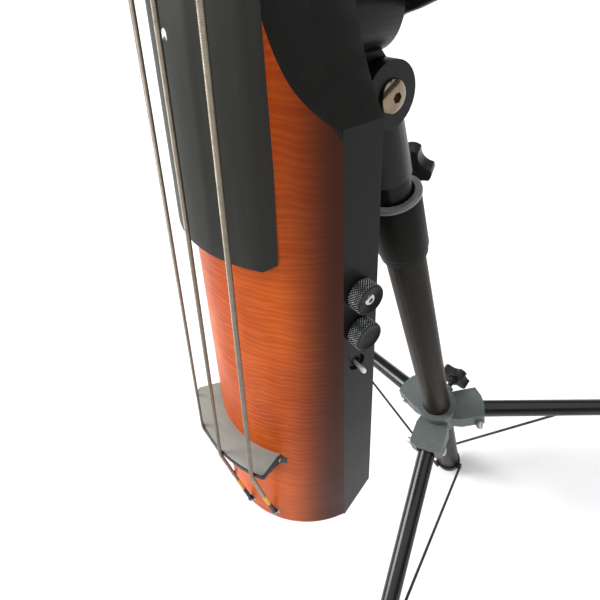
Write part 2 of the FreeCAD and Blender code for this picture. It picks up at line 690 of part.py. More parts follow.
def tuner(key):
    """Post with its gear, worm with its key, and the plate that holds both."""
    x, z = POSTS[key]
    out = 1.0 if x > 0 else -1.0
    gear_y = HEAD_BACK + 4.0
    post = cylinder("post_" + key, "post_radius", gear_y + 24.0 + 5.0,
                    spot((x, -24.0, z), Y, frame=HEAD))
    post_cap = cylinder("post_cap_" + key, "post_radius + 0.8", 3.0,
                        spot((x, -24.0, z), Y, frame=HEAD))
    r_s = size("string_" + key)
    wraps = [cylinder("wrap_%s_%d" % (key, i), size("post_radius") + 1.8 * r_s, 1.7 * r_s,
                      spot((x, -5.0 - 2.0 * r_s * (1 + i), z), Y, frame=HEAD)) for i in range(3)]
    gear = cylinder("gear_" + key, "gear_radius", 5.0, spot((x, gear_y, z), Y, frame=HEAD))
    finish(fuse("post_whole_" + key, [post, post_cap, gear] + wraps), "tuner_post_" + key)
    drop = size("gear_radius") + size("worm_radius") + size("gear_gap")
    shaft_y, shaft_z = gear_y + 2.5, z - drop
    worm = cylinder("worm_" + key, "worm_radius", 14.0,
                    spot((x - 7.0, shaft_y, shaft_z), X, frame=HEAD))
    reach = 52.0 - abs(x)
    stem = cylinder("stem_" + key, "key_shaft", reach + 7.0,
                    spot((x - out * 7.0, shaft_y, shaft_z), X * out, frame=HEAD))
    leaf = new_body("leaf_" + key, spot((x + out * reach, shaft_y, shaft_z), X * out, frame=HEAD))
    leaf_sketch = sketch_on(leaf, "XZ_Plane", "leaf_outline_" + key)
    draw_outline(leaf_sketch, [
        arc((-5, -1), (0, -2.5), (5, -1)), arc((5, -1), (15, 9), (5, 18)),
        arc((5, 18), (0, 22), (-5, 18)), arc((-5, 18), (-15, 9), (-5, -1))])
    pad(leaf, leaf_sketch, 4.0, "leaf_pad_" + key, Midplane=True)
    finish(fuse("key_whole_" + key, [worm, stem, leaf]), "tuner_key_" + key)
    # plate with two ears that carry the worm
    length = 2 * drop + 8
    base = box("base_" + key, 22.0, 2.2, length, spot((x - 11.0, HEAD_BACK, z - drop - 6),
                                                    frame=HEAD))
    ears = [box("ear_%s_%d" % (key, i), 2.6, 11.0, 10.0, spot(
        (x + dx, HEAD_BACK, shaft_z - 5.0), frame=HEAD)) for i, dx in enumerate((-10.4, 7.8))]
    holes = [cylinder("ear_bore_" + key, "key_shaft + running_fit", 40.0,
                      spot((x - 20.0, shaft_y, shaft_z), X, frame=HEAD)),
             cylinder("base_bore_" + key, "post_radius + running_fit", 10.0,
                      spot((x, HEAD_BACK - 4, z), Y, frame=HEAD))]
    return cut("tuner_plate_" + key, fuse("plate_whole_" + key, [base] + ears), holes)


finish(group("tuner_plates", [tuner(key) for key in POSTS]), "tuner_plates")

# ---------------------------------------------------------------- mount on the back
MOUNT_Z, MOUNT_Y = size("housing_z"), size("side_depth") - size("depth_taper") * size("housing_z")
disc = cylinder("mount_disc", "plate_radius", 5.0, spot((0, MOUNT_Y + 0.5, MOUNT_Z), Y,
                                                       frame=INSTRUMENT))
axle = cylinder("mount_axle", "axle_radius", "housing_rear - housing_front + 2.8",
                spot((0, size("housing_front") - 3.2, MOUNT_Z), Y, frame=INSTRUMENT))
stud = cylinder("mount_stud", 5.0, 16.0, spot((0, size("housing_rear") - 1.0, MOUNT_Z), Y,
                                             frame=INSTRUMENT))
plate_holes = [cylinder("plate_hole_%d" % i, 2.1, 20.0, spot((x, 10, z), Y, frame=INSTRUMENT))
               for i, (x, z) in enumerate(MOUNT_SCREWS)]
finish(cut("mount_plate", fuse("mount_whole", [disc, axle, stud]), plate_holes), "mount_plate")
finish(group("mount_screws", [screw("mount_screw_%d" % i, (x, MOUNT_Y + 5.52, z), Y, 1.9, 3.6, 16.0)
                              for i, (x, z) in enumerate(MOUNT_SCREWS)]), "mount_screws")

# clamp housing: barrel round the axle, and the tongue of the tilt knuckle below it
PIVOT = INSTRUMENT.inverse().multVec(STAND.multVec(Vector(0, 0, size("pivot_t"))))
barrel = cylinder("barrel", "housing_radius", "housing_rear - housing_front",
                  spot((0, size("housing_front"), MOUNT_Z), Y, frame=INSTRUMENT))
tongue = plain("tongue", Part.Face(Part.makePolygon([Vector(-size("tongue_half"), y, z) for y, z in [
    (PIVOT.y - 17.0, PIVOT.z + 1), (PIVOT.y - 20, MOUNT_Z - 8), (PIVOT.y + 0.0, MOUNT_Z - 8),
    (PIVOT.y + 0.0, PIVOT.z + 22), (PIVOT.y + 16.5, PIVOT.z + 4), (PIVOT.y, PIVOT.z),
    (PIVOT.y - 17.0, PIVOT.z + 1)]])).extrude(Vector(2 * size("tongue_half"), 0, 0)), INSTRUMENT)
eye = cylinder("tongue_eye", "knuckle_radius - 1", "2 * tongue_half",
               spot((-size("tongue_half"), PIVOT.y, PIVOT.z), X, frame=INSTRUMENT))
housing_bore = cylinder("housing_bore", "axle_radius + running_fit", 60.0,
                        spot((0, size("housing_front") - 4, MOUNT_Z), Y, frame=INSTRUMENT))
bolt_bore = cylinder("bolt_bore", "bolt_radius + running_fit", 60.0,
                     spot((-30, PIVOT.y, PIVOT.z), X, frame=INSTRUMENT))
finish(cut("clamp_housing", fuse("housing_whole", [barrel, tongue, eye]),
           [housing_bore, bolt_bore]), "clamp_housing")

# clamp lever on the stud behind the barrel
LEVER = INSTRUMENT.multiply(Placement(Vector(0, size("housing_rear") + 0.6, MOUNT_Z),
                                      turned(Y).multiply(Rotation(Z, 0))))
washer_and_boss = turned_body("lever_boss", [(0, 0), (14.5, 0), (14.5, 2.0), (12.0, 2.0),
                                             (12.0, 12.0), (10.0, 15.5), (0, 15.5)], LEVER)
blade = plain("lever_blade", Part.makeLoft([
    Part.Wire(Part.makePolygon([Vector(-w, -1.5, d), Vector(w, -1.5, d), Vector(w, t, d),
                                Vector(-w, t, d), Vector(-w, -1.5, d)]))
    for d, w, t in ((0, 9, 8), (26, 12, 7), (50, 11, 9), (62, 6, 8))], True, False),
    INSTRUMENT.multiply(Placement(Vector(0, size("housing_rear") + 6.0, MOUNT_Z),
                                  Rotation(Y, 90 - size("lever_angle")))))
lever_bore = cylinder("lever_bore", "5 + running_fit", 16.5, spot(
    (0, size("housing_rear") - 1, MOUNT_Z), Y, frame=INSTRUMENT))
finish(cut("clamp_lever", fuse("lever_whole", [washer_and_boss, blade]), [lever_bore]),
       "clamp_lever")

# ---------------------------------------------------------------- knuckle socket and tilt bolt
T_P = size("pivot_t")
half_gap = size("tongue_half") + size("joint_gap")
cheeks = cylinder("cheeks", "knuckle_radius", "2 * cheek_out",
                  spot((-size("cheek_out"), 0, T_P), X))
shank = cylinder("socket_shank", "socket_radius", T_P - 12 - size("socket_low"),
                 spot((0, 0, size("socket_low"))))
slot = box("tongue_slot", 2 * half_gap, 60.0, 60.0,
           spot((-half_gap, -30.0, T_P - size("knuckle_radius") + 0.4)))
socket_bore = cylinder("socket_bore", "mast_radius + running_fit", "mast_top + 0.4 - socket_low",
                       spot((0, 0, size("socket_low"))))
socket_bolt = cylinder("socket_bolt_bore", "bolt_radius + running_fit", 60.0,
                       spot((-30, 0, T_P), X))
finish(cut("knuckle_socket", fuse("socket_whole", [cheeks, shank]),
           [slot, socket_bore, socket_bolt]), "knuckle_socket")

head_face = size("cheek_out") + 0.1
dome = common("bolt_dome", [
    sphere("dome_ball", 13.5, spot((head_face - 13.5 + 4.2, 0, T_P))),
    cylinder("dome_trim", 9.2, 6.0, spot((head_face, 0, T_P), X))])
bolt_pin = cylinder("bolt_pin", "bolt_radius", 2 * head_face + 6.0,
                    spot((-head_face - 6.0, 0, T_P), X))
hexes = cylinder("bolt_key", 2.6, 3.0, spot((head_face + 2.2, 0, T_P), X))
finish(cut("tilt_bolt", fuse("tilt_bolt_whole", [dome, bolt_pin]), [hexes]), "tilt_bolt")
tilt_nut = new_body("tilt_nut_body", spot((-head_face - 5.6, 0, T_P), X))
nut_hex = sketch_on(tilt_nut, "XY_Plane", "tilt_nut_outline")
draw_outline(nut_hex, lines([(7.2 * math.cos(math.radians(60 * i)),
                              7.2 * math.sin(math.radians(60 * i))) for i in range(6)]))
pad(tilt_nut, nut_hex, 5.6, "tilt_nut_pad")
finish(cut("tilt_nut", tilt_nut, [cylinder("tilt_nut_bore", "bolt_radius + 0.02", 20.0,
                                          spot((-30, 0, T_P), X))]), "tilt_nut")

# ---------------------------------------------------------------- mast and column
finish(tube("mast_tube", "mast_radius", "mast_radius - mast_wall", "mast_top - mast_low",
            spot((0, 0, size("mast_low")))), "mast_tube")


def radial(angle):
    a = math.radians(angle)
    return Vector(math.cos(a), math.sin(a), 0)


finish(tube("column_tube", "column_radius", "column_bore", "column_top - column_low",
            spot((0, 0, size("column_low")))), "column_tube")
A1, T1 = size("collar_knob_angle"), size("collar_knob_t")
finish(turned_body("column_plug_body", [(0, 0), (15.7, 0), (15.7, 1.9), (14.3, 1.9),
                                        (14.3, 16), (12.5, 16), (12.5, 5), (0, 5)],
                   spot((0, 0, size("column_low") - 2.0))), "column_plug")

# collar: a sleeve on top of the column, bored for the mast above it, where the clamping
# screw comes through
c_r, c_lo, c_hi = size("collar_radius"), size("collar_low"), size("collar_top")
in_r, lip_r = size("column_radius") + 0.02, size("column_bore")
sleeve = turned_body("collar_sleeve", [
    (in_r, c_lo), (c_r - 1.2, c_lo), (c_r - 1.2, c_lo + 6), (c_r, c_lo + 7.5), (c_r, c_hi),
    (lip_r, c_hi), (lip_r, size("column_top") + 0.1), (in_r, size("column_top") + 0.1)],
    spot((0, 0, 0)))
boss = cylinder("collar_boss", 7.0, 11.0, spot(radial(A1) * 17.0 + Z * T1, radial(A1)))
boss_hole = cylinder("collar_boss_hole", "3 + running_fit", 30.0, spot(Z * T1, radial(A1)))
boss_core = cylinder("collar_core", "column_radius + 0.02", 40.0,
                     spot((0, 0, size("column_top") - 39.9)))
finish(cut("column_collar", fuse("collar_whole", [sleeve, boss]), [boss_core, boss_hole]),
       "column_collar")
finish(turned_body("collar_ring_body", [(lip_r + 1.2, c_hi + 0.02), (size("ring_radius"), c_hi + 0.02),
                                        (size("ring_radius"), c_hi + 2.6),
                                        (size("ring_radius") - 1.4, c_hi + 3.6),
                                        (lip_r + 1.2, c_hi + 3.6)], spot((0, 0, 0))), "collar_ring")


def wing_knob(name, angle, height, start, tip):
    """Four-lobed clamping knob on a threaded stud that points at the axis."""
    out = radial(angle)
    knob_at = out * start + Z * height
    body = new_body(name + "_grip", spot(knob_at, out, 45))
    sketch = sketch_on(body, "XY_Plane", name + "_outline")
    r = size("wing_radius")
    edges = []
    for i in range(4):
        mid, low, high = 90 * i, 90 * i - 17, 90 * i + 17
        a, b, c = [Vector(r * f * math.cos(math.radians(t)), r * f * math.sin(math.radians(t)), 0)
                   for t, f in ((low, 0.95), (mid, 1.0), (high, 0.95))]
        n = Vector(r * 0.66 * math.cos(math.radians(mid + 45)),
                   r * 0.66 * math.sin(math.radians(mid + 45)), 0)
        d = Vector(r * 0.95 * math.cos(math.radians(mid + 73)),
                   r * 0.95 * math.sin(math.radians(mid + 73)), 0)
        edges += [arc(a, b, c), arc(c, n, d)]
    draw_outline(sketch, edges)
    pad(body, sketch, "wing_thick", name + "_pad")
    neck = cylinder(name + "_neck", 6.0, 4.0, spot(out * (start - 3.9) + Z * height, out))
    stud = cylinder(name + "_stud", 3.0, start - tip + 2.0, spot(out * tip + Z * height, out))
    return fuse(name, [body, neck, stud])


finish(wing_knob("collar_wing", A1, T1, 35.0, size("mast_radius") + 0.5), "collar_knob")

# ---------------------------------------------------------------- hub
A2, T2 = size("hub_knob_angle"), size("hub_knob_t")
LEG_ANGLES = {"right": size("first_leg"), "front": size("first_leg") - 120,
              "left": size("first_leg") + 120}
hub_core = cylinder("hub_core", "hub_ring", "hub_top - arm_low", spot((0, 0, size("arm_low"))))
hub_rim = cylinder("hub_rim", "hub_ring + 1.4", 5.0, spot((0, 0, size("hub_top") - 5.0)))
hub_boss = cylinder("hub_boss", 6.5, 10.0, spot(radial(A2) * 18.0 + Z * T2, radial(A2)))
arm_parts, arm_slots = [], []
for name, angle in LEG_ANGLES.items():
    reach, half = size("arm_reach"), size("arm_half")
    outline = [(10, -15), (24, -half), (reach, -half), (reach + 4, -half * 0.35),
               (reach + 4, half * 0.35), (reach, half), (24, half), (10, 15)]
    arm = new_body("arm_" + name, STAND.multiply(Placement(Vector(0, 0, size("arm_low")),
                                                           Rotation(Z, angle))))
    arm_sketch = sketch_on(arm, "XY_Plane", "arm_outline_" + name)
    draw_outline(arm_sketch, lines(outline))
    pad(arm, arm_sketch, "arm_top - arm_low", "arm_pad_" + name)
    arm_parts.append(arm)
    arm_slots.append(box("arm_slot_" + name, 60.0, "2 * slot_half", "arm_top - arm_low - arm_skin",
                         STAND.multiply(Placement(Vector(0, 0, size("arm_low") - 0.01), Rotation(
                             Z, angle)).multiply(Placement(Vector(27, -size("slot_half"), 0),
                                                           Rotation())))))
    side = Rotation(Z, angle).multVec(Y)
    at = radial(angle) * size("leg_pivot_r") + Z * size("leg_pivot_t") - side * 30
    arm_slots.append(cylinder("arm_bolt_hole_" + name, "3 + running_fit", 60.0, spot(at, side)))
hub_bore = cylinder("hub_bore", "hub_bore", 80.0, spot((0, 0, size("arm_low") - 20)))
hub_screw_hole = cylinder("hub_screw_hole", "3 + running_fit", 40.0, spot(Z * T2, radial(A2)))
finish(cut("hub", fuse("hub_whole", [hub_core, hub_rim, hub_boss] + arm_parts),
           [hub_bore, hub_screw_hole] + arm_slots), "hub")
finish(wing_knob("hub_wing", A2, T2, 40.0, size("column_radius") + 0.45), "hub_knob")

# leg bolts with a round head on one side and an acorn nut on the other
leg_bolts = []
for name, angle in LEG_ANGLES.items():
    side = Rotation(Z, angle).multVec(Y)
    half = size("arm_half") + 0.05
    mid = radial(angle) * size("leg_pivot_r") + Z * size("leg_pivot_t")
    leg_bolts.append(fuse("leg_bolt_" + name, [
        cylinder("leg_pin_" + name, 3.0, 2 * half + 5, spot(mid - side * (half + 2.5), side)),
        cylinder("leg_head_" + name, 5.0, 2.6, spot(mid + side * half, side)),
        cylinder("leg_nut_" + name, 5.2, 3.6, spot(mid - side * (half + 3.6), side)),
        sphere("leg_acorn_" + name, 4.0, spot(mid - side * (half + 4.0)))]))
finish(group("leg_bolts", leg_bolts), "leg_bolts")

# ---------------------------------------------------------------- legs, feet and braces
SLOPE = math.radians(size("leg_slope"))
for name, angle in LEG_ANGLES.items():
    out = radial(angle)
    side = Rotation(Z, angle).multVec(Y)
    down = out * math.cos(SLOPE) - Z * math.sin(SLOPE)
    pivot = out * size("leg_pivot_r") + Z * size("leg_pivot_t")
    leg_blank = tube("leg_tube_" + name, "leg_radius", "leg_radius - 1.6", "leg_length + 9",
                     spot(pivot - down * 9, down))
    band = tube("leg_band_" + name, "leg_radius + 1.0", "leg_radius - 0.2", 9.0,
                spot(pivot + down * (size("brace_at") - 4.5), down))
    leg_hole = cylinder("leg_bore_" + name, "3 + running_fit", 60.0, spot(pivot - side * 30, side))
    lid = tube("leg_lid_" + name, "leg_radius - 1.4", None, 2.0, spot(pivot - down * 9, down))
    finish(cut("leg_whole_" + name, fuse("leg_parts_" + name, [leg_blank, band, lid]), [leg_hole]),
           "leg_" + name)
    end = pivot + down * size("leg_length")
    foot = fuse("foot_parts_" + name, [
        cylinder("foot_cup_" + name, "foot_radius", 26.0, spot(end - down * 24, down)),
        sphere("foot_ball_" + name, "foot_radius", spot(end + down * 2))])
    finish(cut("foot_whole_" + name, foot, [
        cylinder("foot_bore_" + name, "leg_radius + 0.02", 26.0, spot(end - down * 25.98, down))]),
        "foot_" + name)
    low = out * size("brace_low_r") + Z * size("brace_low_t") + side * size("brace_low_side")
    high = pivot + down * size("brace_at") + side * size("brace_high_side")
    rod = high - low
    finish(fuse("brace_parts_" + name, [
        cylinder("brace_rod_" + name, "brace_radius", rod.Length, spot(low, rod)),
        cylinder("brace_eye_" + name, 4.5, 3.0, spot(low - side * 1.5, side)),
        cylinder("brace_tip_" + name, 4.5, 2.6, spot(high - side * 1.3, side))]), "brace_" + name)

spider_ring = cylinder("spider_ring", "column_radius + 1.6", 11.0,
                       spot((0, 0, size("brace_low_t") - 5.5)))
spider_hole = cylinder("spider_hole", "column_radius + 0.02", 40.0,
                       spot((0, 0, size("brace_low_t") - 20)))
lugs = []
for name, angle in LEG_ANGLES.items():
    side = Rotation(Z, angle).multVec(Y)
    low = radial(angle) * size("brace_low_r") + Z * size("brace_low_t")
    lugs.append(cylinder("lug_" + name, 4.5, size("brace_low_side") - 1.5 - 0.35 - 14.0,
                         spot(low + side * 14.0, side)))
finish(cut("brace_spider", fuse("spider_parts", [spider_ring] + lugs), [spider_hole]),
       "brace_spider")

# ---------------------------------------------------------------- check and write
doc.recompute()
for obj in doc.Objects:
    if "Invalid" in obj.State or "Error" in obj.State:
        raise RuntimeError("%s failed: %s" % (obj.Name, obj.State))
whole = FreeCAD.BoundBox()
for obj in parts:
    shape = obj.Shape
    if shape.isNull() or not shape.isValid() or not shape.Solids:
        raise RuntimeError("%s has no valid solid" % obj.Label)
    shape.exportStep("parts/%s.step" % obj.Label)
    whole.add(shape.BoundBox)
    print("%-18s solids %2d volume %10.1f" % (obj.Label, len(shape.Solids), shape.Volume))
print("parts", len(parts), "box", [round(v, 2) for v in (
    whole.XMin, whole.XMax, whole.YMin, whole.YMax, whole.ZMin, whole.ZMax)])
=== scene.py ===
"""Looks of a slim electric upright bass held on a folding tripod stand.

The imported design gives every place: local frames are read from its joints, and sizes are
millimetres in those frames. Each sub-assembly is a class that builds and dresses its pieces.
"""
import json
import logging
import math
from dataclasses import dataclass, field
from enum import Enum
from typing import Callable, Iterable, Optional, Sequence

import bmesh
import bpy
from mathutils import Matrix, Vector


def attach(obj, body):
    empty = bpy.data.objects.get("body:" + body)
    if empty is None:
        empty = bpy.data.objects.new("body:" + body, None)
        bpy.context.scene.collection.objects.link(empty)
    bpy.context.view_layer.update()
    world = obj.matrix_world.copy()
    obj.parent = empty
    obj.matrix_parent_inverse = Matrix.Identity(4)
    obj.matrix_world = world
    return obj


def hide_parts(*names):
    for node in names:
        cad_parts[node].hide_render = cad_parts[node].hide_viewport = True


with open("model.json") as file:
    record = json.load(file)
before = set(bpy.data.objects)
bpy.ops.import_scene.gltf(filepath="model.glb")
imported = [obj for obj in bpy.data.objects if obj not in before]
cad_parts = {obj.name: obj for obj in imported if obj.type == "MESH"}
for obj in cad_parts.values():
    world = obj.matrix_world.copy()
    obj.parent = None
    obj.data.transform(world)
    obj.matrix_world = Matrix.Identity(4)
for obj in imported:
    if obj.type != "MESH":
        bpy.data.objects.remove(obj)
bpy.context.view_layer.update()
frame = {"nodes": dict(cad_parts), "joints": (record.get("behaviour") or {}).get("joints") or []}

MM = 0.001
LOG = logging.getLogger("upright_bass")
Point = tuple[float, float, float]
Colour = tuple[float, float, float]

# heights and depth of the knobs' axes, the tilt pivot's height, (across, up) of each tuner post
# on the headstock, and the turn of each leg about the column in degrees
VOLUME_Z, TONE_Z, CONTROL_Y = 221.8, 196.8, 9.85
TILT_PIVOT_T = 309.0
POSTS = {"e": (19.0, 52.0), "a": (18.0, 118.0), "d": (-18.0, 118.0), "g": (-19.0, 52.0)}
LEG_AZIMUTHS = {"right": 54.3, "front": -65.7, "left": 174.3}


# ------------------------------------------------------------------ local frames
def joint_row(name: str) -> dict:
    """The design's row for one joint.

    Args:
        name: the joint's name.

    Returns:
        The joint's row, with its place and axis.
    """
    return next(row for row in frame["joints"] if row["name"] == name)


@dataclass(frozen=True)
class Space:
    """A local frame in millimetres."""

    matrix: Matrix

    @classmethod
    def from_axes(cls, x: Vector, y: Vector, z: Vector, known: Vector, local: Point) -> "Space":
        """Frame with given axes in which a known point has given local coordinates.

        Args:
            x: direction of the local x axis.
            y: direction of the local y axis.
            z: direction of the local z axis.
            known: a point in the shared frame, in metres.
            local: the same point in this frame, in millimetres.

        Returns:
            The frame.
        """
        turn = Matrix((x, y, z)).transposed()
        origin = known - turn @ (Vector(local) * MM)
        return cls(Matrix.Translation(origin) @ turn.to_4x4() @ Matrix.Scale(MM, 4))

    def at(self, x: float, y: float, z: float) -> Vector:
        """A local point in the shared frame."""
        return self.matrix @ Vector((x, y, z))

    def placed(self, at: Point, along: Point = (0, 0, 1), roll: float = 0.0) -> "Space":
        """A frame inside this one whose z axis points along a direction.

        Args:
            at: its origin, in this frame.
            along: the direction of its z axis, in this frame.
            roll: a turn about that axis, in degrees.

        Returns:
            The new frame.
        """
        turn = Vector((0, 0, 1)).rotation_difference(Vector(along)).to_matrix().to_4x4()
        spin = Matrix.Rotation(math.radians(roll), 4, "Z")
        return Space(self.matrix @ Matrix.Translation(Vector(at)) @ turn @ spin)


def instrument_space() -> Space:
    """The leaning frame of the instrument, x across, y to the back, z up the body."""
    back = Vector(joint_row("side_swing")["axis"])
    across = Vector((1, 0, 0))
    knob = Vector(joint_row("volume_turn")["pos_m"])
    side = BodyOutline().half(VOLUME_Z)
    return Space.from_axes(across, back, across.cross(back), knob, (side, CONTROL_Y, VOLUME_Z))


def stand_space() -> Space:
    """The upright frame of the stand, z up the column."""
    axes = Matrix.Identity(3)
    pivot = Vector(joint_row("head_turn")["pos_m"])
    return Space.from_axes(axes[0], axes[1], axes[2], pivot, (0, 0, TILT_PIVOT_T))


def headstock_space() -> Space:
    """The frame of the headstock, which tilts back behind the nut."""
    row = joint_row("post_e_turn")
    back, across = Vector(row["axis"]), Vector((1, 0, 0))
    return Space.from_axes(across, back, across.cross(back), Vector(row["pos_m"]),
                           (POSTS["e"][0], 0, POSTS["e"][1]))


@dataclass(frozen=True)
class BodyOutline:
    """Front outline and arch of the body, in the instrument's frame."""

    half_low: float = 67.7
    taper: float = 0.009
    shoulder_z: float = 304.4
    heel_z: float = 372.0
    heel_half: float = 43.6
    shoulder_half: float = 65.0
    arch_low: float = 55.1
    arch_taper: float = 0.072

    def straight(self, z: float) -> float:
        """Half width of the straight-sided blank at a height."""
        return self.half_low - self.taper * z

    def half(self, z: float) -> float:
        """Half width of the outline at a height, with the scooped shoulders."""
        if z <= self.shoulder_z:
            return self.straight(z)
        rise, run = self.heel_z - self.shoulder_z, self.shoulder_half - self.heel_half
        radius = (rise * rise + run * run) / (2 * run)
        return self.heel_half + radius - math.sqrt(max(0.0, radius ** 2 - (self.heel_z - z) ** 2))

    def arch(self, x: float, z: float) -> float:
        """Depth of the arched front at a distance from the middle and a height."""
        half, high = self.straight(z), self.arch_low - self.arch_taper * z
        radius = (half * half + high * high) / (2 * high)
        return radius - high - math.sqrt(max(0.0, radius * radius - x * x))

    def normal(self, x: float, z: float) -> Vector:
        """Outward direction of the arch, square to the body's length."""
        step = 0.5
        slope = (self.arch(abs(x) + step, z) - self.arch(abs(x) - step, z)) / (2 * step)
        return Vector((math.copysign(slope, x), -1, 0)).normalized()


# ------------------------------------------------------------------ meshes
@dataclass
class Shape:
    """Points and faces gathered before they become one piece."""

    points: list[Vector] = field(default_factory=list)
    faces: list[tuple[int, ...]] = field(default_factory=list)
    finish_of: list[int] = field(default_factory=list)

    def add(self, other: "Shape", finish: int = 0, matrix: Optional[Matrix] = None) -> "Shape":
        """Take in another shape.

        Args:
            other: the shape to take in.
            finish: number of the finish its faces wear.
            matrix: where it goes, if it is moved.

        Returns:
            This shape.
        """
        start = len(self.points)
        self.points += [matrix @ p if matrix else p for p in other.points]
        self.faces += [tuple(i + start for i in face) for face in other.faces]
        self.finish_of += [finish] * len(other.faces)
        return self

    @classmethod
    def loft(cls, rings: Sequence[Sequence[Point]], caps: bool = True) -> "Shape":
        """Skin through closed rings of equal length.

        Args:
            rings: the rings in order.
            caps: whether the two ends are closed.

        Returns:
            The shape.
        """
        made = cls([Vector(p) for ring in rings for p in ring])
        count = len(rings[0])
        for row in range(len(rings) - 1):
            for k in range(count):
                n = (k + 1) % count
                made.faces.append((row * count + k, row * count + n,
                                   (row + 1) * count + n, (row + 1) * count + k))
        if caps:
            last = (len(rings) - 1) * count
            made.faces.append(tuple(reversed(range(count))))
            made.faces.append(tuple(range(last, last + count)))
        made.finish_of = [0] * len(made.faces)
        return made

    @classmethod
    def lathe(cls, profile: Sequence[tuple[float, float]], steps: int = 64, closed: bool = False,
              ripple: Optional[Callable[[float, float, float], float]] = None) -> "Shape":
        """Surface of revolution about z.

        Args:
            profile: (radius, height) points; a radius of 0 is a pole.
            steps: points round the axis.
            closed: whether the last point joins the first.
            ripple: gives the radius from radius, angle and height.

        Returns:
            The shape.
        """
        made, rows = cls(), []
        for radius, height in profile:
            row = []
            for k in range(1 if radius < 1e-6 else steps):
                angle = 2 * math.pi * k / steps
                here = ripple(radius, angle, height) if ripple else radius
                row.append(len(made.points))
                made.points.append(Vector((here * math.cos(angle), here * math.sin(angle), height)))
            rows.append(row)
        pairs = list(zip(rows, rows[1:])) + ([(rows[-1], rows[0])] if closed else [])
        for low, high in pairs:
            for k in range(steps):
                n = (k + 1) % steps
                ring = (low[k % len(low)], low[n % len(low)], high[n % len(high)], high[k % len(high)])
                face = tuple(dict.fromkeys(ring))
                if len(face) > 2:
                    made.faces.append(face)
        made.finish_of = [0] * len(made.faces)
        return made

    @classmethod
    def sweep(cls, path: Sequence[Vector], radii: Sequence[float], sides: int = 16) -> "Shape":
        """Round tube with closed ends along a path.

        Args:
            path: centre points.
            radii: the radius at each of them.
            sides: points round the tube.

        Returns:
            The shape.
        """
        rings, side = [], None
        for k, centre in enumerate(path):
            ahead = path[min(k + 1, len(path) - 1)] - path[max(k - 1, 0)]
            ahead.normalize()
            start = side if side is not None else Vector((1, 0.13, 0.07))
            side = (start - ahead * start.dot(ahead)).normalized()
            other = ahead.cross(side)
            rings.append([tuple(centre + (side * math.cos(a) + other * math.sin(a)) * radii[k])
                          for a in (2 * math.pi * i / sides for i in range(sides))])
        return cls.loft(rings)


def smooth(mesh: bpy.types.Mesh, angle: float = 32.0) -> None:
    """Shade a mesh smooth and keep its edges above an angle sharp."""
    mesh.shade_smooth()
    mesh.set_sharp_from_angle(angle=math.radians(angle))


def round_edges(piece: bpy.types.Object, width: float, angle: float = 35.0, steps: int = 3) -> None:
    """Round the sharp edges of a piece with a bevel modifier.

    Args:
        piece: the piece.
        width: width of the rounding in millimetres.
        angle: smallest angle of an edge that is rounded, in degrees.
        steps: segments of the rounding.
    """
    bevel = piece.modifiers.new("rounded_edges", "BEVEL")
    bevel.width, bevel.segments = width * MM, steps
    bevel.limit_method, bevel.angle_limit = "ANGLE", math.radians(angle)
    bevel.harden_normals, bevel.use_clamp_overlap = True, True


def clean_mesh(name: str, shape: Shape, space: Space) -> bpy.types.Mesh:
    """Mesh of a shape, with merged points and every face turned outwards.

    Args:
        name: the mesh's name.
        shape: its points and faces in local millimetres.
        space: the frame of those points.

    Returns:
        The mesh, in the shared frame.
    """
    mesh = bpy.data.meshes.new(name)
    mesh.from_pydata([space.matrix @ p for p in shape.points], [], shape.faces)
    for polygon, number in zip(mesh.polygons, shape.finish_of):
        polygon.material_index = number
    work = bmesh.new()
    work.from_mesh(mesh)
    bmesh.ops.remove_doubles(work, verts=work.verts, dist=1e-7)
    bmesh.ops.recalc_face_normals(work, faces=work.faces)
    work.to_mesh(mesh)
    work.free()
    return mesh


def make_piece(name: str, shape: Shape, space: Space, body: str,
               finishes: Sequence[bpy.types.Material], stands_for: Iterable[str],
               angle: float = 32.0) -> bpy.types.Object:
    """Turn a shape into a finished piece that rides on a body.

    Args:
        name: the piece's name.
        shape: its points and faces in local millimetres.
        space: the frame of those points.
        body: the body that it moves with.
        finishes: its materials.
        stands_for: design nodes that it replaces.
        angle: edges above this angle stay sharp.

    Returns:
        The piece.
    """
    mesh = clean_mesh(name, shape, space)
    smooth(mesh, angle)
    piece = bpy.data.objects.new(name, mesh)
    bpy.context.scene.collection.objects.link(piece)
    for finish in finishes:
        mesh.materials.append(finish)
    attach(piece, body)
    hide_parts(*stands_for)
    LOG.info("made %s with %d faces", name, len(mesh.polygons))
    return piece


def cut_away(piece: bpy.types.Object, tools: Shape, space: Space) -> None:
    """Take a shape out of a piece for good.

    Args:
        piece: the piece.
        tools: the waste, in local millimetres.
        space: the frame of the waste.
    """
    waste = bpy.data.objects.new("waste", clean_mesh("waste", tools, space))
    bpy.context.scene.collection.objects.link(waste)
    step = piece.modifiers.new("cut", "BOOLEAN")
    step.operation, step.object, step.solver = "DIFFERENCE", waste, "EXACT"
    bpy.context.view_layer.update()
    graph = bpy.context.evaluated_depsgraph_get()
    result = bpy.data.meshes.new_from_object(piece.evaluated_get(graph))
    piece.modifiers.remove(step)
    piece.data = result
    smooth(result)
    bpy.data.objects.remove(waste)


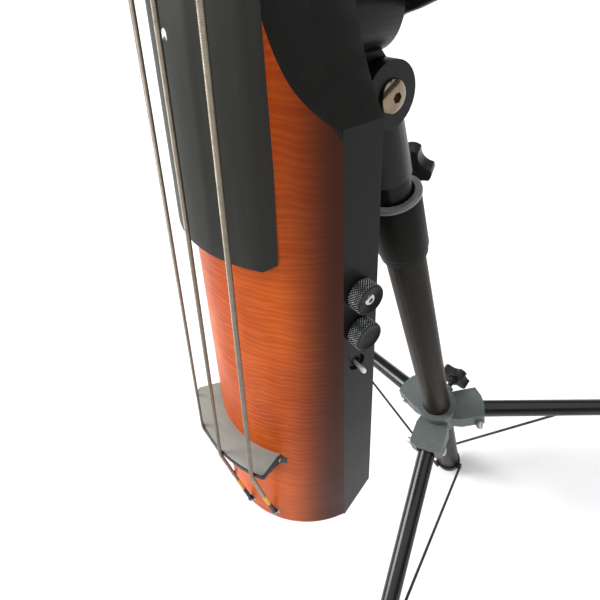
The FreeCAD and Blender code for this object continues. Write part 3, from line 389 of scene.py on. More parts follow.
# ------------------------------------------------------------------ materials
class Graph:
    """Node tree of one material, built from small named steps."""

    def __init__(self, name: str) -> None:
        """Start a material with one glossy shader.

        Args:
            name: the material's name.
        """
        self.material = bpy.data.materials.new(name)
        self.material.use_nodes = True
        self.tree = self.material.node_tree
        self.tree.nodes.clear()
        self.shader = self.tree.nodes.new("ShaderNodeBsdfPrincipled")
        output = self.tree.nodes.new("ShaderNodeOutputMaterial")
        self.tree.links.new(self.shader.outputs["BSDF"], output.inputs["Surface"])

    def join(self, source: object, target: bpy.types.NodeSocket) -> None:
        """Link a socket, or set a plain value, on a node's input."""
        if isinstance(source, bpy.types.NodeSocket):
            self.tree.links.new(source, target)
        else:
            target.default_value = source

    def coords(self, space: Optional[Space] = None, stretch: Point = (1, 1, 1)) -> bpy.types.NodeSocket:
        """Coordinates of a point at rest, in metres.

        Args:
            space: a local frame, or the shared one.
            stretch: factors on the three coordinates.

        Returns:
            The vector socket.
        """
        node = self.tree.nodes.new("ShaderNodeTexCoord")
        here = node.outputs["Object"]
        if space:
            place, turn, _ = space.matrix.decompose()
            mapping = self.tree.nodes.new("ShaderNodeMapping")
            mapping.vector_type = "TEXTURE"
            mapping.inputs["Location"].default_value = place
            mapping.inputs["Rotation"].default_value = turn.to_euler()
            self.join(here, mapping.inputs["Vector"])
            here = mapping.outputs["Vector"]
        if stretch != (1, 1, 1):
            scale = self.tree.nodes.new("ShaderNodeVectorMath")
            scale.operation = "MULTIPLY"
            self.join(here, scale.inputs[0])
            self.join(stretch, scale.inputs[1])
            here = scale.outputs["Vector"]
        return here

    def noise(self, vector: object, scale: float, detail: float = 3.0, rough: float = 0.5,
              twist: float = 0.0) -> bpy.types.NodeSocket:
        """Fractal noise from 0 to 1 with features of 1 / scale metres."""
        node = self.tree.nodes.new("ShaderNodeTexNoise")
        self.join(vector, node.inputs["Vector"])
        for key, value in (("Scale", scale), ("Detail", detail), ("Roughness", rough),
                           ("Distortion", twist)):
            node.inputs[key].default_value = value
        return node.outputs["Fac"]

    def cells(self, vector: object, scale: float) -> bpy.types.NodeSocket:
        """Distance to scattered points, for pebbled and speckled surfaces."""
        node = self.tree.nodes.new("ShaderNodeTexVoronoi")
        self.join(vector, node.inputs["Vector"])
        node.inputs["Scale"].default_value = scale
        return node.outputs["Distance"]

    def math(self, kind: str, a: object, b: object = 0.0, c: object = 0.0) -> bpy.types.NodeSocket:
        """One sum on numbers."""
        node = self.tree.nodes.new("ShaderNodeMath")
        node.operation = kind
        for value, socket in zip((a, b, c), node.inputs):
            self.join(value, socket)
        return node.outputs["Value"]

    def band(self, value: object, low: float, high: float, to_low: float = 0.0,
             to_high: float = 1.0) -> bpy.types.NodeSocket:
        """Carry a range onto another one smoothly, clamped at both ends."""
        node = self.tree.nodes.new("ShaderNodeMapRange")
        node.interpolation_type = "SMOOTHSTEP"
        for value_in, socket in zip((value, low, high, to_low, to_high), node.inputs):
            self.join(value_in, socket)
        return node.outputs["Result"]

    def parts(self, vector: object) -> Sequence[bpy.types.NodeSocket]:
        """The x, y and z of a vector."""
        node = self.tree.nodes.new("ShaderNodeSeparateXYZ")
        self.join(vector, node.inputs[0])
        return node.outputs

    def blend(self, factor: object, a: object, b: object) -> bpy.types.NodeSocket:
        """Mix two colours."""
        node = self.tree.nodes.new("ShaderNodeMix")
        node.data_type = "RGBA"
        for value, socket in zip((factor, a, b), (node.inputs[0], node.inputs[6], node.inputs[7])):
            self.join((*value, 1.0) if isinstance(value, tuple) else value, socket)
        return node.outputs[2]

    def bump(self, height: object, depth: float) -> bpy.types.NodeSocket:
        """Relief of a depth in millimetres."""
        node = self.tree.nodes.new("ShaderNodeBump")
        node.inputs["Distance"].default_value = depth * MM
        self.join(height, node.inputs["Height"])
        return node.outputs["Normal"]

    def dress(self, **sockets: object) -> bpy.types.Material:
        """Set the shader's sockets by name and return the material."""
        for key, value in sockets.items():
            socket = self.shader.inputs[key.replace("_", " ")]
            self.join((*value, 1.0) if isinstance(value, tuple) and len(value) == 3 else value, socket)
        return self.material


@dataclass(frozen=True)
class Coating:
    """A moulded, painted, lacquered or plated surface with fine relief and slight wear."""

    name: str
    colour: Colour
    worn: Colour
    rough: tuple[float, float]
    grain: float = 1500.0
    depth: float = 0.02
    metal: float = 0.0
    shine: float = 0.5
    stretch: Point = (1, 1, 1)
    speckle: float = 0.0

    def build(self, space: Optional[Space] = None) -> bpy.types.Material:
        """Make the material.

        Args:
            space: the frame that the grain follows.

        Returns:
            The material.
        """
        g = Graph(self.name)
        here = g.coords(space, self.stretch)
        cloud = g.noise(here, 22.0, 4.0, 0.6)
        fine = g.noise(here, self.grain, 3.0, 0.55)
        patch = g.band(g.noise(here, 120.0, 5.0, 0.65), 0.48, 0.72)
        colour = g.blend(g.math("MULTIPLY", patch, 0.55), self.colour, self.worn)
        colour = g.blend(g.math("MULTIPLY", cloud, 0.35), colour, self.colour)
        if self.speckle:
            dust = g.band(g.cells(here, 420.0), 0.0, 0.06, self.speckle, 0.0)
            colour = g.blend(dust, colour, (0.35, 0.34, 0.33))
        mixed = g.math("ADD", g.math("MULTIPLY", fine, 0.4), g.math("MULTIPLY", cloud, 0.6))
        rough = g.band(mixed, 0.3, 0.7, *self.rough)
        pebble = g.cells(here, self.grain * 0.6)
        relief = g.bump(g.math("ADD", fine, g.math("MULTIPLY", pebble, 0.5)), self.depth)
        return g.dress(Base_Color=colour, Roughness=rough, Normal=relief, Metallic=self.metal,
                       Specular_IOR_Level=self.shine)


@dataclass(frozen=True)
class FlamedMaple:
    """Amber-stained figured maple under a satin lacquer, darkened towards the edges by a sunburst stain with
    painted shade in it.
    """

    amber: Colour = (0.66, 0.122, 0.014)
    stain: Colour = (0.38, 0.050, 0.007)
    flame: Colour = (0.84, 0.190, 0.026)
    # near-black brown of the edges: sunburst stain and painted shade together
    burst: Colour = (0.030, 0.010, 0.005)
    outline: BodyOutline = BodyOutline()
    curl_pitch: float = 0.0036

    def build(self, space: Space) -> bpy.types.Material:
        """Make the material.

        Args:
            space: the instrument's frame, whose z is the direction of the grain.

        Returns:
            The material.
        """
        g = Graph("flamed_maple")
        here = g.coords(space)
        x, _, z = g.parts(here)
        curl = self.figure(g, space, x, z)
        fibre = g.noise(g.coords(space, (1, 1, 0.03)), 2600.0, 3.0, 0.6)
        patches = g.noise(g.coords(space, (1, 1, 0.7)), 17.0, 3.0, 0.5)
        wood = g.blend(g.band(patches, 0.3, 0.7), self.stain, self.amber)
        wood = g.blend(g.math("MULTIPLY", curl, 0.34), wood, self.flame)
        wood = g.blend(g.math("MULTIPLY", g.math("SUBTRACT", 1.0, curl), 0.26), wood, self.stain)
        wood = g.blend(g.math("MULTIPLY", fibre, 0.16), wood, self.stain)
        redder = g.band(z, 0.16, 0.34, 0.0, 0.40)
        wood = g.blend(redder, wood, self.stain)
        half = g.math("SUBTRACT", self.outline.half_low * MM, g.math("MULTIPLY", z, self.outline.taper))
        share = g.math("DIVIDE", g.math("ABSOLUTE", x), half)
        edge = g.math("ADD", share, g.math("MULTIPLY", g.math("SUBTRACT", patches, 0.5), 0.05))
        # darker towards both side edges: part sunburst stain, part painted shade where the arch turns away
        # from the light
        wood = g.blend(g.band(edge, 0.66, 0.98, 0.0, 0.95), wood, self.burst)
        rough = g.band(g.noise(here, 45.0, 4.0), 0.3, 0.7, 0.30, 0.42)
        relief = g.bump(g.math("ADD", fibre, g.math("MULTIPLY", curl, 0.6)), 0.018)
        return g.dress(Base_Color=wood, Roughness=rough, Normal=relief, Specular_IOR_Level=0.10)

    def figure(self, g: Graph, space: Space, x: object, z: object) -> bpy.types.NodeSocket:
        """Wavering curls across the grain.

        Args:
            g: the material's graph.
            space: the instrument's frame.
            x: metres across the body.
            z: metres up the body.

        Returns:
            Strength of the curl, from 0 to 1.
        """
        sway = g.noise(g.coords(space, (1, 1, 0.35)), 26.0, 2.0, 0.5)
        drift = g.math("MULTIPLY", g.math("SUBTRACT", sway, 0.5), 0.016)
        along = g.math("ADD", z, drift)
        join = self.tree_vector(g, x, along)
        curls = g.noise(join, 1.0, 2.0, 0.55, 0.25)
        ripples = g.noise(self.tree_vector(g, g.math("MULTIPLY", x, 1.7), g.math("MULTIPLY", along, 2.3)),
                          1.0, 2.0, 0.5)
        wobble = g.math("MULTIPLY", curls, 13.0)
        beat = g.math("SINE", g.math("ADD", g.math("MULTIPLY", along, 2 * math.pi / self.curl_pitch), wobble))
        stripes = g.math("MULTIPLY_ADD", beat, 0.5, 0.5)
        mixed = g.math("ADD", g.math("MULTIPLY", curls, 0.35), g.math("MULTIPLY", ripples, 0.30))
        return g.band(g.math("MULTIPLY_ADD", stripes, 0.22, mixed), 0.26, 0.62)

    @staticmethod
    def tree_vector(g: Graph, across: object, along: object) -> bpy.types.NodeSocket:
        """Coordinates for curls: long across the grain, short along it.

        Args:
            g: the material's graph.
            across: metres across the body.
            along: metres up the body.

        Returns:
            The vector socket.
        """
        node = g.tree.nodes.new("ShaderNodeCombineXYZ")
        g.join(g.math("MULTIPLY", across, 32.0), node.inputs[0])
        g.join(g.math("MULTIPLY", along, 235.0), node.inputs[2])
        return node.outputs[0]


@dataclass(frozen=True)
class Winding:
    """Round wire or thread wound on a string, read from the length along it, with painted shade in the
    grooves between the turns.
    """

    name: str
    colour: Colour
    # darker colour: painted shade in the grooves, and also the colour of random grime
    shade: Colour
    pitch: float
    rough: tuple[float, float]
    metal: float

    def build(self) -> bpy.types.Material:
        """Make the material."""
        g = Graph(self.name)
        node = g.tree.nodes.new("ShaderNodeAttribute")
        node.attribute_name = "along"
        turns = g.math("MULTIPLY", node.outputs["Fac"], 2 * math.pi / (self.pitch * MM))
        ridge = g.math("MULTIPLY_ADD", g.math("SINE", turns), 0.5, 0.5)
        grime = g.noise(g.coords(), 300.0, 4.0, 0.6)
        # the grooves between the turns are painted darker: painted shade
        colour = g.blend(g.math("MULTIPLY", ridge, 0.5), self.shade, self.colour)
        # random grime pulls towards the same darker colour
        colour = g.blend(g.band(grime, 0.4, 0.75, 0.0, 0.5), colour, self.shade)
        return g.dress(Base_Color=colour, Metallic=self.metal, Normal=g.bump(ridge, self.pitch * 0.25),
                       Roughness=g.band(grime, 0.3, 0.7, *self.rough))


class Shade(Enum):
    """Coated finishes of the instrument and its stand."""

    BODY = Coating("black_lacquer", (0.0150, 0.0150, 0.0142), (0.021, 0.020, 0.018), (0.26, 0.36),
                   900, 0.005, shine=0.09, speckle=0.10)
    EBONY = Coating("ebony", (0.031, 0.031, 0.0275), (0.046, 0.045, 0.039), (0.38, 0.52), 2400, 0.010,
                    shine=0.09, stretch=(1, 1, 0.04))
    BRIDGE_FACE = Coating("bridge_face", (0.245, 0.262, 0.232), (0.33, 0.345, 0.31), (0.46, 0.62), 900,
                          0.015, stretch=(0.3, 1, 1), speckle=0.18)
    # near black: painted shade on the bridge's edges and back face
    BRIDGE_EDGE_PAINTED_SHADE = Coating("bridge_edge_painted_shade", (0.006, 0.0066, 0.0064), (0.015, 0.015, 0.015), (0.35, 0.5), 900,
                          0.01, shine=0.3)
    TUBE = Coating("brown_black_tube", (0.019, 0.0135, 0.0095), (0.032, 0.024, 0.017), (0.34, 0.46), 1100,
                   0.010, shine=0.10)
    ARM = Coating("black_powder_coat", (0.0065, 0.0065, 0.0068), (0.012, 0.012, 0.012), (0.30, 0.42), 1300,
                  0.014, shine=0.16)
    LEG = Coating("gloss_black", (0.006, 0.0062, 0.006), (0.011, 0.011, 0.010), (0.20, 0.30), 700, 0.005,
                  shine=0.38)
    BRACE = Coating("brace_rod", (0.034, 0.027, 0.022), (0.06, 0.05, 0.042), (0.3, 0.42), 900, 0.008,
                    shine=0.3)
    NYLON = Coating("nylon", (0.088, 0.105, 0.102), (0.125, 0.145, 0.14), (0.38, 0.50), 2200, 0.03,
                    shine=0.3)
    DARK_NYLON = Coating("dark_nylon", (0.010, 0.0112, 0.011), (0.02, 0.022, 0.022), (0.34, 0.46), 2200,
                         0.035, shine=0.22)
    COLLAR = Coating("collar_nylon", (0.0085, 0.0083, 0.0068), (0.016, 0.0155, 0.013), (0.40, 0.52), 2000,
                     0.02, shine=0.06)
    RING = Coating("ring_nylon", (0.12, 0.13, 0.13), (0.20, 0.215, 0.21), (0.35, 0.5), 1800, 0.02)
    CHROME = Coating("polished_steel", (0.66, 0.62, 0.55), (0.50, 0.46, 0.39), (0.10, 0.20), 1600, 0.003,
                     metal=1.0)
    BRONZED = Coating("bronzed_steel", (0.21, 0.165, 0.115), (0.12, 0.085, 0.05), (0.13, 0.26), 900, 0.010,
                      metal=1.0)
    STEEL = Coating("plain_steel", (0.46, 0.48, 0.48), (0.30, 0.32, 0.32), (0.12, 0.24), 1600, 0.004,
                    metal=1.0)
    KNURL = Coating("knurl_crests", (0.40, 0.43, 0.43), (0.22, 0.24, 0.24), (0.24, 0.36), 1600, 0.004,
                    metal=0.9)
    # near-black painted shade for the sunk grooves of the knurl
    KNURL_GROOVE_PAINTED_SHADE = Coating("knurl_grooves_painted_shade", (0.020, 0.021, 0.021), (0.03, 0.03, 0.03), (0.34, 0.46), 1600, 0.004,
                     metal=0.5)
    SATIN = Coating("satin_steel", (0.82, 0.80, 0.74), (0.6, 0.58, 0.52), (0.26, 0.38), 1600, 0.004,
                    metal=0.75)
    ZINC = Coating("zinc_plate", (0.50, 0.48, 0.41), (0.33, 0.31, 0.25), (0.24, 0.40), 1500, 0.012,
                   metal=1.0)
    GUNMETAL = Coating("black_nickel", (0.27, 0.285, 0.29), (0.13, 0.14, 0.145), (0.18, 0.32), 1800, 0.008,
                       metal=1.0)
    KNOB_FACE = Coating("knob_face", (0.006, 0.0052, 0.005), (0.012, 0.010, 0.009), (0.26, 0.38), 2400,
                        0.01, shine=0.10)
    RUBBER = Coating("foot_rubber", (0.012, 0.012, 0.012), (0.028, 0.027, 0.026), (0.62, 0.8), 1400, 0.04)
    PEARL = Coating("pearl_dot", (0.80, 0.80, 0.76), (0.66, 0.68, 0.70), (0.15, 0.25), 600, 0.004)
    BONE = Coating("black_nut", (0.012, 0.012, 0.012), (0.03, 0.03, 0.03), (0.2, 0.35), 900, 0.006)
    BOARD = Coating("circuit_board", (0.02, 0.10, 0.045), (0.03, 0.14, 0.07), (0.3, 0.45), 800, 0.02)
    CERAMIC = Coating("piezo_ceramic", (0.80, 0.76, 0.68), (0.6, 0.56, 0.5), (0.4, 0.55), 1500, 0.01)
    BRASS = Coating("brass_plate", (0.72, 0.50, 0.22), (0.5, 0.34, 0.15), (0.22, 0.36), 1500, 0.01,
                    metal=1.0)


class Finishes:
    """Every material, made once and shared."""

    def __init__(self, bass: Space) -> None:
        """Make the store.

        Args:
            bass: the instrument's frame, which wood grain follows.
        """
        self.bass = bass
        self.made: dict[str, bpy.types.Material] = {}
        self.maple = FlamedMaple().build(bass)
        self.wound = Winding("wound_steel", (0.56, 0.50, 0.41), (0.20, 0.17, 0.13), 0.42, (0.30, 0.46),
                             1.0).build()
        self.gold = Winding("gold_thread", (1.0, 0.62, 0.09), (0.80, 0.40, 0.05), 0.5, (0.45, 0.65),
                            0.1).build()
        self.blue = Winding("blue_thread", (0.045, 0.036, 0.125), (0.012, 0.010, 0.040), 0.5, (0.4, 0.6),
                            0.0).build()

    def of(self, shade: Shade) -> bpy.types.Material:
        """The material of a shade."""
        if shade.name not in self.made:
            self.made[shade.name] = shade.value.build(self.bass)
        return self.made[shade.name]


@dataclass
class NodeDresser:
    """Dresses the design's own parts: rounded edges and a material each."""

    finishes: Finishes

    def dress(self, node: str, shade: Shade, rounding: float = 0.0, angle: float = 35.0) -> None:
        """Give a design node its finish.

        Args:
            node: the node's name.
            shade: its finish.
            rounding: rounding of its edges in millimetres.
            angle: smallest edge angle that is rounded.
        """
        part = frame["nodes"][node]
        part.data.materials.clear()
        part.data.materials.append(self.finishes.of(shade))
        weld = part.modifiers.new("joined_seams", "WELD")
        weld.merge_threshold = 2e-6
        if rounding:
            round_edges(part, rounding, angle)
        LOG.info("dressed %s as %s", node, shade.value.name)


# ------------------------------------------------------------------ instrument
@dataclass
class ArchedTop:
    """The figured top with its rounded, blackened shoulders."""

    finishes: Finishes
    bass: Space
    outline: BodyOutline = BodyOutline()
    shoulder_round: float = 4.2
    edge_round: float = 0.7
    anchors: tuple[tuple[float, float], ...] = ((35.5, 10.6), (13.7, 7.9), (-13.7, 7.9), (-35.5, 10.6))
    cup_radius: float = 4.2
    cup_depth: float = 6.8
    paint_overlap: float = 6.0

    def rounding(self, z: float) -> float:
        """Radius where the arch turns into the side, larger on the shoulders."""
        share = min(1.0, max(0.0, (z - self.outline.shoulder_z + 8) / 26.0))
        return self.edge_round + (self.shoulder_round - self.edge_round) * share * share * (3 - 2 * share)

    def ring(self, z: float, columns: int = 72, turn: int = 6) -> tuple[list[Point], list[bool]]:
        """One cross-section and which of its edges are painted black.

        Args:
            z: height of the section.
            columns: steps across the arch.
            turn: steps round each edge.

        Returns:
            The points and, for each, whether the face after it is black.
        """
        half, soft = self.outline.half(z), self.rounding(z)
        flat = half - soft
        arch = self.outline.arch
        points = []
        start, corner = Vector((flat, arch(flat, z))), Vector((half, arch(half, z)))
        end = Vector((half, min(-0.05, corner.y + soft * 1.15)))
        for k in range(columns + 1):
            x = -flat + 2 * flat * k / columns
            points.append((x, arch(x, z), z))
        side = []
        for k in range(1, turn + 1):
            t = k / turn
            p = start * (1 - t) ** 2 + corner * 2 * t * (1 - t) + end * t * t
            side.append((p.x, p.y))
        side.append((half, 0.0))
        points += [(x, y, z) for x, y in side] + [(-x, y, z) for x, y in reversed(side)]
        edge = [z > self.outline.shoulder_z - self.paint_overlap] * len(side)
        return points, [False] * columns + edge + [True] + edge

    def build(self) -> None:
        """Make the top and bore its four string anchors."""
        o = self.outline
        heights = [0.0, 0.5, 1.3, 3.0] + [3 + (o.shoulder_z - 12) * k / 72 for k in range(1, 73)]
        heights += [o.shoulder_z - 9 + (o.heel_z - o.shoulder_z + 9) * k / 30 for k in range(1, 31)]
        rings, painted = [], []
        for row, z in enumerate(heights):
            points, black = self.ring(z)
            sink = (0.9, 0.35, 0.08, 0.0)[row] if row < 4 else 0.0
            rings.append([(x * (1 - sink / 60), y + (sink if y < -1 else 0), h) for x, y, h in points])
            painted.append(black)
        shape = Shape.loft(rings)
        count = len(rings[0])
        for index in range(len(shape.faces) - 2):
            row, k = divmod(index, count)
            shape.finish_of[index] = 1 if painted[row][k] else 0
        shape.finish_of[-2:] = [1, 1]
        piece = make_piece("maple_top", shape, self.bass, "instrument",
                           [self.finishes.maple, self.finishes.of(Shade.BODY)], ["body_top"])
        holes = Shape()
        for x, z in self.anchors:
            out = self.outline.normal(x, z)
            foot = Vector((x, o.arch(abs(x), z), z)) - out * self.cup_depth
            drill = Shape.lathe([(0, 0), (self.cup_radius, 0), (self.cup_radius, 14), (0, 14)], 40)
            holes.add(drill, 0, Space(Matrix.Identity(4)).placed(tuple(foot), tuple(out)).matrix)
        cut_away(piece, holes, self.bass)


@dataclass
class Bridge:
    """Thin curved bridge with small feet, a pale face towards the neck, and edges and back face painted near
    black as shade.
    """

    finishes: Finishes
    bass: Space
    outline: BodyOutline = BodyOutline()
    low: float = 79.6
    top: float = 88.6
    crown_radius: float = 93.8
    crown_centre: float = 26.6
    half: float = 48.0
    foot_half: float = 42.2
    foot_flare: float = 3.6
    corner: float = 1.8

    def crown(self, x: float) -> float:
        """Depth of the crown that carries the strings."""
        return self.crown_centre - math.sqrt(self.crown_radius ** 2 - x * x)

    def section(self, z: float, inset: float, under: float, flare: float) -> list[Point]:
        """Closed outline at a height.

        Args:
            z: the height.
            inset: how far it is pulled in, for a soft edge.
            under: how far the crown is set back here.
            flare: how far the feet stand out.

        Returns:
            The points.
        """
        steps = 40
        half, foot = self.half - inset - under * 0.8, self.foot_half - inset + flare
        pull, pts = inset + under, []
        for k in range(steps + 1):
            x = -half + self.corner + 2 * (half - self.corner) * k / steps
            pts.append((x, self.crown(x) + pull, z))
        rim = Vector((half, self.crown(half) + pull))
        before = Vector((half - self.corner, self.crown(half - self.corner) + pull))
        base = Vector((foot, self.outline.arch(foot, z) + 0.4))
        after = rim + (base - rim).normalized() * self.corner
        right = [before.lerp(rim, t).lerp(rim.lerp(after, t), t) for t in (0.25, 0.5, 0.75, 1.0)]
        knee = base + Vector((-flare, -3.0 - 0.4 * flare))
        right += [after.lerp(knee, 0.5), knee, base + Vector((-0.35 * flare, -2.0)), base]
        pts += [(p.x, p.y, z) for p in right]
        for k in range(1, steps):
            x = foot - 2 * foot * k / steps
            pts.append((x, self.outline.arch(abs(x), z) + 0.4, z))
        pts += [(-p.x, p.y, z) for p in reversed(right)]
        return pts

    def build(self) -> None:
        """Make the bridge: a thin crown, a set-back underside and feet below the face."""
        low, top = self.low, self.top
        rows = [(low, 0.6, 4.6, self.foot_flare), (low + 0.5, 0.1, 4.2, self.foot_flare),
                (top - 4.2, 0.0, 0.0, self.foot_flare), (top - 3.0, 0.0, 0.0, self.foot_flare),
                (top - 2.2, 0.0, 0.0, 0.6), (top - 0.6, 0.0, 0.0, 0.0), (top - 0.15, 0.2, 0.0, 0.0),
                (top, 0.6, 0.0, 0.0)]
        shape = Shape.loft([self.section(*row) for row in rows])
        # every face but the one towards the neck wears the near-black painted shade
        shape.finish_of = [1] * (len(shape.faces) - 2) + [1, 0]
        make_piece("bridge_plate", shape, self.bass, "instrument",
                   [self.finishes.of(Shade.BRIDGE_FACE), self.finishes.of(Shade.BRIDGE_EDGE_PAINTED_SHADE)],
                   ["bridge"], angle=40)


@dataclass
class Strings:
    """Four wound strings with gold and blue thread at their anchored ends."""

    finishes: Finishes
    bass: Space
    head: Space
    bridge: Bridge
    outline: BodyOutline = BodyOutline()
    radii: tuple[tuple[str, float], ...] = (("e", 1.45), ("a", 1.2), ("d", 0.9), ("g", 0.7))
    spacing: float = 28.0
    nut_spacing: float = 10.5
    nut_z: float = 1155.6
    nut_width: float = 6.0
    nut_crown: float = 35.6
    nut_radius: float = 88.0
    post_radius: float = 5.0
    blue_to: float = 21.0
    gold_to: float = 37.0
    lift: float = 5.0

    def route(self, number: int, radius: float, key: str) -> list[Vector]:
        """Corners of one string from its cup to its tuner post."""
        share = 1.5 - number
        x_b, x_n = share * self.spacing, share * self.nut_spacing
        seat = radius * 1.03 + 0.05
        y_b = self.bridge.crown_centre - math.sqrt((self.bridge.crown_radius + seat) ** 2 - x_b ** 2)
        y_n = self.nut_crown + self.nut_radius - math.sqrt((self.nut_radius + seat) ** 2 - x_n ** 2)
        ax, az = ArchedTop.anchors[number]
        cup = Vector((ax, self.outline.arch(abs(ax), az), az)) + self.outline.normal(ax, az) * 1.4
        post_x, post_z = POSTS[key]
        side = -1.0 if post_x > 0 else 1.0
        near = self.head.at(post_x + side * (self.post_radius + 2.8 * radius + 0.4), -5.0 - radius,
                            post_z - 3.0)
        return [cup, Vector((x_b, y_b, self.bridge.low + self.lift)), Vector((x_b, y_b, self.bridge.top)),
                Vector((x_n, y_n, self.nut_z)), Vector((x_n, y_n, self.nut_z + self.nut_width)),
                self.bass.matrix.inverted() @ near]

    def stations(self, corners: Sequence[Vector]) -> list[tuple[Vector, float]]:
        """Points along the string with the length so far, close together at its lower end."""
        made, run = [], 0.0
        for a, b in zip(corners, corners[1:]):
            length = (b - a).length
            steps = max(2, int(length / (1.0 if run < 110 else 30)))
            made += [(a.lerp(b, k / steps), run + length * k / steps) for k in range(steps)]
            run += length
        return made + [(corners[-1], run)]

    def build(self) -> None:
        """Make every string with its ball end."""
        for number, (key, radius) in enumerate(self.radii):
            track = self.stations(self.route(number, radius, key))
            radii = []
            for _, run in track:
                thread = 0.22 if run < self.gold_to else 0.0
                radii.append(radius + (thread + 0.06 if run < self.blue_to else thread))
            shape = Shape.sweep([p for p, _ in track], radii, 20)
            for index in range(len(shape.faces) - 2):
                run = track[index // 20][1]
                shape.finish_of[index] = 2 if run < self.blue_to else 1 if run < self.gold_to else 0
            ball = Shape.lathe([(2.3 * math.sin(math.pi * k / 14), -2.3 * math.cos(math.pi * k / 14))
                                for k in range(15)], 28)
            shape.add(ball, 3, Matrix.Translation(track[0][0]))
            piece = make_piece("string_%s_wound" % key, shape, self.bass, "instrument",
                               [self.finishes.wound, self.finishes.gold, self.finishes.blue,
                                self.finishes.of(Shade.GUNMETAL)], ["string_" + key])
            self.measure(piece, track)

    def measure(self, piece: bpy.types.Object, track: Sequence[tuple[Vector, float]]) -> None:
        """Store the length along the string on its points, for the windings."""
        start, end = track[0][0], track[-1][0]
        up = (end - start).normalized()
        back = self.bass.matrix.inverted()
        values = [((back @ v.co) - start).dot(up) * MM for v in piece.data.vertices]
        layer = piece.data.attributes.new("along", "FLOAT", "POINT")
        layer.data.foreach_set("value", values)


@dataclass
class Controls:
    """Knurled knobs on short shafts, and the toggle's lever."""

    finishes: Finishes
    bass: Space
    radius: float = 8.66
    height: float = 8.2
    gap: float = 1.0
    diamonds: int = 34
    rows: int = 5
    knurl: float = 0.62
    toggle_z: float = 170.7
    toggle_droop: float = 9.0
    toggle_sunk: float = 9.4

    def knurled(self, radius: float, angle: float, height: float) -> float:
        """Radius of the diamond pattern at a point of the knob's side."""
        if radius < self.radius - 0.01:
            return radius
        turn, lift = self.diamonds * angle / 2, math.pi * self.rows * height / self.height
        ridge = abs(math.sin(turn + lift)) * abs(math.sin(turn - lift))
        return radius - self.knurl * min(1.0, 1.25 * (1 - ridge ** 0.8))

    def knob(self, name: str, z: float, dished: bool) -> None:
        """One knob, with a screw in a bright dish or a plain turned face."""
        r, h, edge = self.radius, self.height, 0.55
        side = [(r - edge, 0.0)] + [(r, edge + (h - 2 * edge) * k / 42) for k in range(43)]
        face = [(r - edge, h), (r - 1.3, h), (r - 1.7, h - 0.35)]
        if dished:
            face += [(3.3, h - 0.6), (3.0, h - 0.8), (2.6, h - 0.35), (1.9, h - 0.1), (1.3, h - 0.2),
                     (1.15, h - 1.6), (0, h - 1.6)]
        else:
            face += [(3.0, h - 0.45), (0, h - 0.45)]
        profile = [(0, -13.6), (2.9, -13.6), (2.9, 0.0)] + side + face
        shape = Shape.lathe(profile, self.diamonds * 6, ripple=self.knurled)
        for index, polygon in enumerate(shape.faces):
            centre = sum((shape.points[i] for i in polygon), Vector()) / len(polygon)
            spread = math.hypot(centre.x, centre.y)
            on_face = centre.z > h - 2.5 and spread < r - 0.9
            bright = dished and spread < 3.1
            shape.finish_of[index] = (2 if bright else 1) if on_face else 0
            # the sunk parts of the knurl wear the near-black painted shade
            if not on_face and r - self.knurl * 1.05 < spread < r - self.knurl * 0.42:
                shape.finish_of[index] = 3
        place = self.bass.placed((BodyOutline().half(z) + self.gap, CONTROL_Y, z), (1, 0, 0))
        make_piece(name + "_knurled", shape, place, name,
                   [self.finishes.of(Shade.KNURL), self.finishes.of(Shade.KNOB_FACE),
                    self.finishes.of(Shade.STEEL), self.finishes.of(Shade.KNURL_GROOVE_PAINTED_SHADE)], [name],
                   angle=40)

    def toggle(self) -> None:
        """Tapered switch lever with a rounded end, deep in its counterbore."""
        droop = math.radians(self.toggle_droop)
        profile = [(0, 0), (0.95, 0), (1.0, 3.0), (1.2, 9.5), (1.45, 13.0), (1.5, 15.2), (1.3, 16.2),
                   (0.8, 16.8), (0, 16.95)]
        start = (BodyOutline().straight(170) - self.toggle_sunk, CONTROL_Y, self.toggle_z)
        place = self.bass.placed(start, (math.cos(droop), 0, -math.sin(droop)))
        make_piece("toggle_baton", Shape.lathe(profile, 28), place, "toggle",
                   [self.finishes.of(Shade.SATIN)], ["toggle_lever"], angle=60)

    def build(self) -> None:
        """Make both knobs and the switch lever."""
        self.knob("volume_knob", VOLUME_Z, True)
        self.knob("tone_knob", TONE_Z, False)
        self.toggle()


